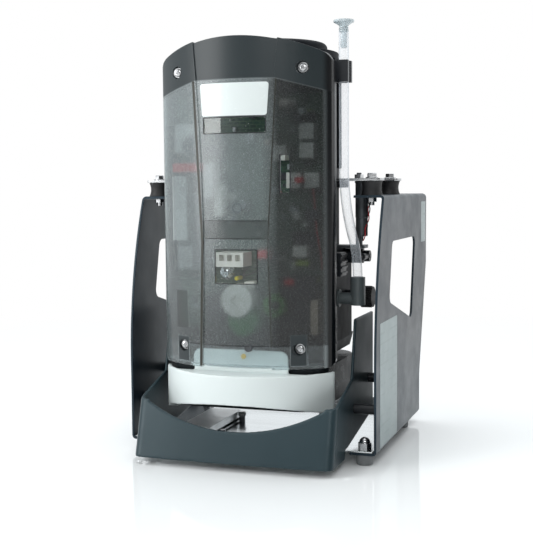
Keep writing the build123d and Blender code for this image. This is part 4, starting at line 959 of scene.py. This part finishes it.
class SUCTION_OT_mounts(Operator):
    """Finishes the buffers, suspension plates, rods and their screws and nuts"""

    bl_idname = "suction.mounts"
    bl_label = "Buffers and suspension"

    def execute(self, context):
        size = settings()
        for node in ("right_suspension_plate", "left_suspension_plate"):
            refined(node, size.sheet_edge)
        for node in ("support_rods", "rod_nuts", "buffer_nuts"):
            refined(node, size.metal_edge)
        refined("buffer_studs", 0)
        buffers = dressed(cleaned("rubber_buffers", size.metal_edge), SLOT_OF["rubber_buffers"])
        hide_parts("rubber_buffers")
        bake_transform(buffers)
        self.buffer_screws()
        self.sleeves()
        self.twisted_leads(size.wire * 0.42)
        return {"FINISHED"}

    def buffer_screws(self):
        """A hexagon screw with its washer on each buffer."""
        low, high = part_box("buffer_screws")
        arm_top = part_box("right_suspension_plate")[1].z
        rim, seat = 0.0075, 0.0012
        washer = turned("washer", [(0.0071, 0.0), (rim, 0.0003), (rim, 0.0010), (0.0071, 0.0013)], angle=30)
        head = hex_head("head", 0.010, high.z - arm_top - seat, 0.0030)
        head.location.z = seat
        shank = turned("shank", [(0.003, low.z - arm_top), (0.003, 0.001)], 20)
        corners = [(x, y) for x in (low.x + rim, high.x - rim) for y in (low.y + rim, high.y - rim)]
        screws = copies(joined([washer, head, shank], "screw"), "buffer_screw_heads",
                        [upright(x, y, arm_top, turn) for (x, y), turn in zip(corners, (12, 40, 27, 3))])
        ride(screws, "unit", "steel")
        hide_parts("buffer_screws")

    def sleeves(self):
        """A moulded sleeve with a collar round each support rod."""
        low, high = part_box("support_rods")
        radius = 0.0042
        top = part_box("right_suspension_plate")[0].z - SUNK
        sleeve = turned("sleeve", [(0.0066, 0.262), (0.0072, 0.2626), (0.0072, 0.284), (0.0078, 0.2846),
                                   (0.0078, 0.3262), (0.0086, 0.3268), (0.0086, top)], angle=35)
        pair = copies(sleeve, "rod_sleeves", [Matrix.Translation((x, low.y + radius, 0))
                                              for x in (low.x + radius, high.x - radius)])
        ride(pair, "unit", "grey_rod")

    def twisted_leads(self, radius):
        """A red and a black lead twisted together beside the right-hand rod."""
        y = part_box("support_rods")[0].y - 0.004
        spread, steps = 0.0011, 32
        half_turns, top, drop = 6.5, 0.3285, 0.072
        for name, phase, slot, shade in (("sensor_lead_red", 0.0, "white_plastic", (0.50, 0.02, 0.03)),
                                         ("sensor_lead_black", math.pi, "dark_can", (0.012, 0.012, 0.014))):
            points = []
            for step in range(steps + 1):
                along = step / steps
                turn = phase + along * half_turns * math.pi
                x = 0.1255 + 0.0035 * math.sin(along * math.pi) - 0.0055 * along * along
                points.append((x + spread * math.cos(turn), y + spread * math.sin(turn), top - drop * along))
            ride(lead(name, points, radius), "unit", slot, own_finish(name, shade, (0.3, 0.4)))


# ---------------------------------------------------------------- cover and what shows through it
# middle x and z, width, height, and how far the window stands back from the cover's front
WINDOWS = (
    (0.0, 0.3925, 0.076, 0.019, 0.0016),
    (0.0015, 0.232, 0.052, 0.040, 0.0016),
    (0.058, 0.337, 0.012, 0.044, 0.0),
)

# left and right end, z, height, and how far the line stands back from the cover's front
RIDGES = (
    (-0.0375, 0.0375, 0.2845, 0.0009, 0.0016),
    (-0.0375, 0.0375, 0.2640, 0.0009, 0.0016),
    (-0.0605, -0.0440, 0.1410, 0.0012, 0.0),
    (-0.0395, 0.0395, 0.1410, 0.0012, 0.0016),
    (0.0440, 0.0615, 0.1410, 0.0012, 0.0),
)

# x, z and the turn of the cross slot in degrees
COVER_SCREWS = ((-0.076, 0.456, 20), (0.076, 0.456, 55), (-0.071, 0.137, 8), (0.071, 0.137, 35))


class SUCTION_OT_cover(Operator):
    """Adds the smoked cover, its windows and their rims, the moulded lines and the ring"""

    bl_idname = "suction.cover"
    bl_label = "Front cover"

    def execute(self, context):
        size = settings()
        refined("front_cover", size.moulded_edge * 0.6, angle=34.0).visible_shadow = False
        refined("clear_windows", 0).visible_shadow = False
        rims = [self.rim(*window, size.rim_width) for window in WINDOWS]
        ride(joined(rims, "window_rims"), "unit", "black_plastic")
        ridges = [self.ridge(*ridge) for ridge in RIDGES]
        ride(joined(ridges, "cover_ridges"), "unit", "black_plastic")
        nothing_selected()
        bpy.ops.mesh.primitive_torus_add(major_radius=0.0052, minor_radius=0.0006,
                                         major_segments=48, minor_segments=10)
        x, z = 0.0035, 0.299
        ring = placed(bpy.context.object, facing_front(x, cover_y(x) + 0.0015, z))
        ring.name = "cover_ring"
        bpy.ops.object.shade_smooth()
        ride(ring, "unit", "black_plastic", own_finish("moulded_ring", (0.10, 0.12, 0.13), (0.2, 0.3)))
        return {"FINISHED"}

    def strip(self, width, height, steps):
        """A flat strip round the origin."""
        nothing_selected()
        bpy.ops.mesh.primitive_grid_add(x_subdivisions=steps, y_subdivisions=1, size=1, location=(0, 0, 0))
        piece = bpy.context.object
        piece.scale = (width, height, 1)
        settle(piece)
        return piece

    def bend(self, piece, x, z, back):
        """Stands a flat strip up and bends it to the cover's bow."""
        for vertex in piece.data.vertices:
            across, up, _ = vertex.co
            vertex.co = (x + across, cover_y(x + across) + back, z + up)

    def thicken(self, piece, wall, edge):
        """Gives a bent strip its wall and rounds its edges."""
        solid = piece.modifiers.new("thickness", "SOLIDIFY")
        solid.thickness = wall
        solid.offset = 0.0
        return round_edges(piece, edge)

    def ridge(self, left, right, z, height, back):
        """A low moulded line across the cover, following its bow."""
        piece = self.strip(right - left, height, 20)
        self.bend(piece, (left + right) / 2, z, back - 0.0001)
        return self.thicken(piece, 0.0007, 0.00025)

    def rim(self, x, z, width, height, back, thick):
        """A raised frame round a window, bent to the cover's bow."""
        piece = self.strip(width, height, 24)
        edit_all(piece)
        bpy.ops.mesh.inset(thickness=thick, depth=0.0)
        bpy.ops.mesh.delete(type="FACE")
        edited()
        self.bend(piece, x, z, back - 0.0003)
        edit_all(piece)
        bpy.ops.mesh.normals_make_consistent(inside=False)
        edited()
        return self.thicken(piece, 0.0008, 0.0002)


class SUCTION_OT_cover_fittings(Operator):
    """Adds the cover's screws with their washers and collars, and the button"""

    bl_idname = "suction.cover_fittings"
    bl_label = "Cover fittings"

    def execute(self, context):
        self.screws(settings().screw_head)
        low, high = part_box("service_button")
        reach = high.y - low.y
        button = turned("service_button_shape", [(0.0015, -reach), (0.0015, -0.008), (0.0049, -0.008),
                                                 (0.0050, -0.0010), (0.0047, -0.0003), (0.0036, 0.0),
                                                 (0.0030, -0.0006), (0.0006, -0.0009)], 36, 35)
        placed(button, facing_front((low.x + high.x) / 2, low.y, (low.z + high.z) / 2))
        ride(button, "service_button", "grey_plug",
             own_finish("button_grey", (0.05, 0.055, 0.06), (0.3, 0.4)))
        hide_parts("service_button")
        return {"FINISHED"}

    def screws(self, radius):
        """Cross-slotted screws, each with a washer on a collar."""
        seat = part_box("cover_screws")[0].y + 0.0042
        rise, slot_half, slot_foot, above = 0.0065, 0.0026, 0.0024, 0.0060
        washer = turned("washer", [(0.0056, 0.0), (0.0060, 0.0002), (0.0060, 0.0008), (0.0057, 0.0010)],
                        angle=30)
        head = turned("head", [(0.0044, 0.0010), (radius, 0.0013), (radius, 0.0024),
                               (0.0041, 0.0035), (0.0030, 0.0041), (0.0016, 0.0042)])
        for x, y in ((slot_half, 0.0005), (0.0005, slot_half)):
            cut(head, block("slot", (-x, -y, slot_foot), (x, y, above)))
        smooth(head, 30)
        for part in (washer, head):
            part.location.z = rise
        collar = turned("collar", [(0.0052, 0.0), (0.0052, rise)], 32)
        shank = turned("shank", [(0.0025, -0.020), (0.0025, 0.0012)], 20)
        places = [facing_front(x, seat, z) @ Matrix.Rotation(math.radians(turn), 4, "Z")
                  for x, z, turn in COVER_SCREWS]
        screws = copies(joined([washer, head, collar, shank], "screw"), "cover_screw_heads", places)
        ride(screws, "unit", "steel")
        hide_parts("cover_screws")


class SUCTION_OT_name_plate(Operator):
    """Finishes the blank name plate"""

    bl_idname = "suction.name_plate"
    bl_label = "Name plate"

    def execute(self, context):
        refined("name_plate", 0.00025)
        return {"FINISHED"}


# places on the board that its larger parts need: x, z and radius in millimetres
TAKEN_PLACES = ((-8, 238, 24), (4, 192, 20), (36, 184, 17), (-68, 270, 40))

# parts whose blurred shapes show through the cover: name, slot, colour and gloss,
# then each one's x, z, width, height and depth in millimetres
BLURRED_PARTS = (
    ("marker_strips", "white_plastic", (0.85, 0.84, 0.78), (0.4, 0.5),
     ((-34, 307, 11, 36, 16), (4, 208, 13, 7, 18), (66, 248, 17, 13, 18))),
    ("red_plugs", "white_plastic", (0.75, 0.03, 0.04), (0.3, 0.4),
     ((-70, 346, 34, 10, 26), (20, 244, 12, 9, 20), (66, 330, 9, 6, 22), (52, 212, 12, 7, 16))),
    ("pale_shields", "aluminium", (0.55, 0.56, 0.55), (0.3, 0.45),
     ((-78, 298, 18, 76, 28), (-74, 380, 24, 34, 22), (-74, 240, 18, 26, 22), (-44, 330, 12, 40, 24))),
    ("green_parts", "copper_coil", (0.32, 0.45, 0.04), (0.35, 0.5),
     ((74, 408, 9, 5, 10), (66, 234, 16, 6, 10), (80, 214, 9, 5, 8))),
    ("dark_modules", "dark_can", (0.006, 0.008, 0.014), (0.35, 0.5),
     ((62, 190, 44, 58, 15), (-40, 178, 34, 34, 10), (70, 262, 30, 18, 10))),
    ("tan_cans", "white_plastic", (0.60, 0.50, 0.40), (0.35, 0.5),
     ((84, 172, 9, 40, 22), (28, 374, 6, 6, 20), (46, 418, 8, 8, 18))),
)

# round parts: name, slot, colour and gloss, then x, z, radius and depth in millimetres
ROUND_PARTS = (
    ("green_ring", "copper_coil", (0.03, 0.17, 0.05), (0.35, 0.5), (-3, 166, 19, 24)),
    ("pale_can", "white_plastic", (0.75, 0.68, 0.62), (0.35, 0.5), (50, 418, 5, 26)),
    ("grey_can", "aluminium", (0.42, 0.44, 0.44), (0.3, 0.4), (70, 408, 4, 24)),
    ("yellow_lamp", "white_plastic", (0.75, 0.62, 0.02), (0.2, 0.3), (-13, 215, 2.5, 16)),
)

# leads inside the cover: x, distance in front of their own line, z
LEAD_LINE = BOARD_FRONT - 0.012
RED_LEAD = ((0.080, -0.010, 0.330), (0.080, 0.0, 0.322), (0.084, 0.004, 0.300),
            (0.086, 0.006, 0.272), (0.091, 0.004, 0.245), (0.088, -0.010, 0.226))
DARK_LEAD = ((-0.004, -0.010, 0.226), (-0.006, 0.010, 0.218), (0.012, 0.012, 0.222),
             (0.030, 0.008, 0.236), (0.048, 0.004, 0.246), (0.052, -0.010, 0.252))


def board_block(x, z, width, height, depth, edge=0.0):
    """A block that stands on the control board, its place and size in millimetres."""
    return block("part", ((x - width / 2) * MM, BOARD_FRONT - depth * MM, (z - height / 2) * MM),
                 ((x + width / 2) * MM, BOARD_FRONT + SUNK, (z + height / 2) * MM), edge)


class SUCTION_OT_tray(Operator):
    """Finishes the control tray and everything on the control board"""

    bl_idname = "suction.tray"
    bl_label = "Control tray and board"

    def execute(self, context):
        size = settings()
        refined("control_tray", size.moulded_edge * 0.6)
        refined("control_board", 0)
        for node in ("relays", "capacitors"):
            refined(node, 0.0005)
        terminal = refined("terminal_block", 0.0005,
                           material=own_finish("terminal_white", (0.78, 0.77, 0.72), (0.35, 0.5)))
        to_the_left = 0.008
        for vertex in terminal.data.vertices:
            vertex.co.x -= to_the_left
        refined("heat_sink", 0.0003)
        self.alarm_disc(-to_the_left, 0.190, 0.0200)
        refined("choke_coil", 0.0030, 4)
        self.chips(size.chips)
        for name, slot, shade, gloss, places in BLURRED_PARTS:
            parts = [board_block(*place, 0.0007) for place in places]
            ride(joined(parts, name), "unit", slot, own_finish(name, shade, gloss))
        for name, slot, shade, gloss, (x, z, radius, depth) in ROUND_PARTS:
            r, reach = radius * MM, depth * MM
            rings = [(r, 0.0), (r, reach - r * 0.2), (r * 0.93, reach - r * 0.06), (r * 0.8, reach)]
            disc = placed(turned(name, rings, angle=35), facing_front(x * MM, BOARD_FRONT, z * MM))
            ride(disc, "unit", slot, own_finish(name, shade, gloss))
        self.foil_bag()
        self.lead_inside("red_lead", RED_LEAD, "white_plastic",
                         own_finish("red_lead", (0.60, 0.02, 0.03), (0.3, 0.4)))
        self.lead_inside("dark_lead", DARK_LEAD, "dark_can", finish("dark_can"))
        return {"FINISHED"}

    def alarm_disc(self, x, z, radius):
        """The pale stepped disc of the alarm, set in its node's depth."""
        low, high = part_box("alarm_disc")
        reach = high.y - low.y
        disc = turned("alarm_disc_shape", [(radius * 0.9, 0.0), (radius * 0.9, reach * 0.5),
                                           (radius, reach * 0.54), (radius, reach * 0.92),
                                           (radius * 0.95, reach), (radius * 0.3, reach),
                                           (radius * 0.26, reach * 0.93)], 56, 35)
        placed(disc, facing_front(x, high.y, z))
        ride(disc, "unit", SLOT_OF["alarm_disc"], own_finish("alarm_white", (0.88, 0.86, 0.80), (0.4, 0.55)))
        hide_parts("alarm_disc")

    def chips(self, wanted):
        """Small components scattered over the free parts of the board, from a fixed seed."""
        draw = random.Random(7)
        taken = list(TAKEN_PLACES)
        kinds = {"dark_can": [], "white_plastic": [], "aluminium": []}
        while sum(len(v) for v in kinds.values()) < wanted:
            x, z = draw.uniform(-84, 84), draw.uniform(164, 424)
            if any(math.hypot(x - a, z - b) < r for a, b, r in taken):
                continue
            width, height, depth = draw.uniform(3, 11), draw.uniform(2.5, 9), draw.uniform(1.5, 6)
            kind = draw.choices(list(kinds), (6, 2, 2))[0]
            kinds[kind].append(board_block(x, z, width, height, depth))
            taken.append((x, z, max(width, height) * 0.6))
        for kind, chips in kinds.items():
            ride(round_edges(joined(chips, f"small_parts_{kind}"), 0.0003, 1), "unit", kind)

    def foil_bag(self):
        """A crumpled foil bag behind the lower window."""
        nothing_selected()
        bpy.ops.mesh.primitive_ico_sphere_add(subdivisions=3, radius=0.5,
                                              location=(-0.024, BOARD_FRONT - 0.016, 0.2235))
        bag = bpy.context.object
        bag.name = "foil_bag"
        bag.scale = (0.017, 0.015, 0.018)
        settle(bag)
        edit_all(bag)
        bpy.ops.transform.vertex_random(offset=0.0016, seed=5)
        edited()
        ride(bag, "unit", "aluminium", own_finish("foil", (0.78, 0.80, 0.82), (0.10, 0.2), metallic=1.0))

    def lead_inside(self, name, route, slot, material):
        """A lead that starts and ends on the board."""
        places = [(x, LEAD_LINE - forward, z) for x, forward, z in route]
        ride(lead(name, places, settings().wire / 2), "unit", slot, material)


# ---------------------------------------------------------------- motor, separator, container
class SUCTION_OT_motor(Operator):
    """Finishes the motor and separator housings, their spigots and running parts"""

    bl_idname = "suction.motor"
    bl_label = "Motor and separator"

    def execute(self, context):
        size = settings()
        for node in ("motor_housing", "separator_housing"):
            refined(node, size.moulded_edge)
        refined("motor_cap", 0)
        for node in ("suction_spigot", "drain_spigot", "exhaust_spigot", "mains_gland"):
            refined(node, size.metal_edge)
        for node in ("stator", "rotor_core", "motor_shaft", "impeller", "bearing_plate",
                     "upper_bearing_plate", "bearings", "shaft_seal", "turbine_cover", "separator_drum"):
            refined(node, size.metal_edge, 1)
        self.ribs()
        self.skirt()
        return {"FINISHED"}

    def ribs(self):
        """Upright cooling ribs round the back of the motor housing."""
        low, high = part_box("motor_cap")
        x, y = (low.x + high.x) / 2, (low.y + high.y) / 2
        radius, proud, half, foot, top = 0.082, 0.0035, 0.0012, 0.345, 0.478
        ribs = []
        for angle in range(-20, 201, 10):
            rib = block("rib", (radius - 0.001, -half, foot), (radius + proud, half, top), 0.0006)
            ribs.append(placed(rib, upright(x, y, 0, angle)))
        ride(joined(ribs, "housing_ribs"), "unit", "housing_black")

    def skirt(self):
        """An open moulded skirt that closes the gap between the separator and the container."""
        side, front, back = 0.090, PLATE_FRONT + 0.034, PLATE_FRONT + 0.150
        foot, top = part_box("collecting_container")[1].z + 0.0015, 0.1360
        taper = 0.95
        wall = block("separator_skirt", (-side, front, foot), (side, back, top))
        edit_faces(wall, lambda face: abs(face.normal.z) > 0.9)
        bpy.ops.mesh.delete(type="FACE")
        edited()
        for vertex in wall.data.vertices:
            if vertex.co.z < (foot + top) / 2:
                vertex.co.x *= taper
        shell = wall.modifiers.new("shell", "SOLIDIFY")
        shell.thickness = 0.003
        shell.offset = -1.0
        round_edges(wall, 0.0011, 3)
        ride(wall, "unit", "housing_black")


class SUCTION_OT_container(Operator):
    """Finishes the light holder band, the dark container, its seal and float"""

    bl_idname = "suction.container"
    bl_label = "Container and holder"

    def execute(self, context):
        size = settings()
        softened("container_holder", 0.0010, 9)
        refined("collecting_container", size.moulded_edge)
        refined("container_seal", size.metal_edge)
        refined("level_float", size.moulded_edge)
        dot = turned("level_dot", [(0.0030, 0.0), (0.0032, 0.0002), (0.0032, 0.0006), (0.0028, 0.0008)],
                     32, 30)
        tab_front = PLATE_FRONT - 0.028
        placed(dot, facing_front(0.004, tab_front + SUNK, 0.1265))
        ride(dot, "container", "light_grey",
             own_finish("level_dot", tuple(context.scene.unit_finishes.dot), (0.3, 0.4)))
        return {"FINISHED"}


# ---------------------------------------------------------------- service side
class SUCTION_OT_service_side(Operator):
    """Finishes the hose clip, elbow, valve, lever and knob on the right"""

    bl_idname = "suction.service_side"
    bl_label = "Service side"

    def execute(self, context):
        size = settings()
        edge = size.moulded_edge * 0.7
        for node in ("hose_clip", "valve_box", "drain_valve", "drain_lever"):
            refined(node, edge)
        refined("hose_elbow", edge, material=own_finish("elbow_grey", (0.10, 0.12, 0.125), (0.3, 0.42)))
        refined("union_knob", size.metal_edge)
        return {"FINISHED"}


class SUCTION_PT_panel(Panel):
    """Lists the unit's pieces in the sidebar"""

    bl_idname = "SUCTION_PT_panel"
    bl_label = "Suction unit"
    bl_space_type = "VIEW_3D"
    bl_region_type = "UI"
    bl_category = "Suction unit"

    def draw(self, context):
        column = self.layout.column(align=True)
        for step in STEPS:
            column.operator(step.bl_idname)
        for group in (context.scene.unit_sizes, context.scene.unit_finishes):
            box = self.layout.box()
            for key in group.__annotations__:
                box.prop(group, key)


STEPS = (
    SUCTION_OT_stage,
    SUCTION_OT_hose,
    SUCTION_OT_side_plates,
    SUCTION_OT_apron,
    SUCTION_OT_base,
    SUCTION_OT_mounts,
    SUCTION_OT_cover,
    SUCTION_OT_cover_fittings,
    SUCTION_OT_name_plate,
    SUCTION_OT_tray,
    SUCTION_OT_motor,
    SUCTION_OT_container,
    SUCTION_OT_service_side,
)
CLASSES = (FinishSettings, SizeSettings, *STEPS, SUCTION_PT_panel)


def register():
    for cls in CLASSES:
        bpy.utils.register_class(cls)
    bpy.types.Scene.unit_finishes = PointerProperty(type=FinishSettings)
    bpy.types.Scene.unit_sizes = PointerProperty(type=SizeSettings)


def unregister():
    del bpy.types.Scene.unit_sizes
    del bpy.types.Scene.unit_finishes
    for cls in reversed(CLASSES):
        bpy.utils.unregister_class(cls)


def main():
    """Registers the add-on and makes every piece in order."""
    register()
    for node, piece in NODES.items():
        for holder in piece.material_slots:
            holder.material = finish(SLOT_OF[node])
    for step in STEPS:
        group, action = step.bl_idname.split(".")
        getattr(getattr(bpy.ops, group), action)()


if __name__ == "__main__":
    main()
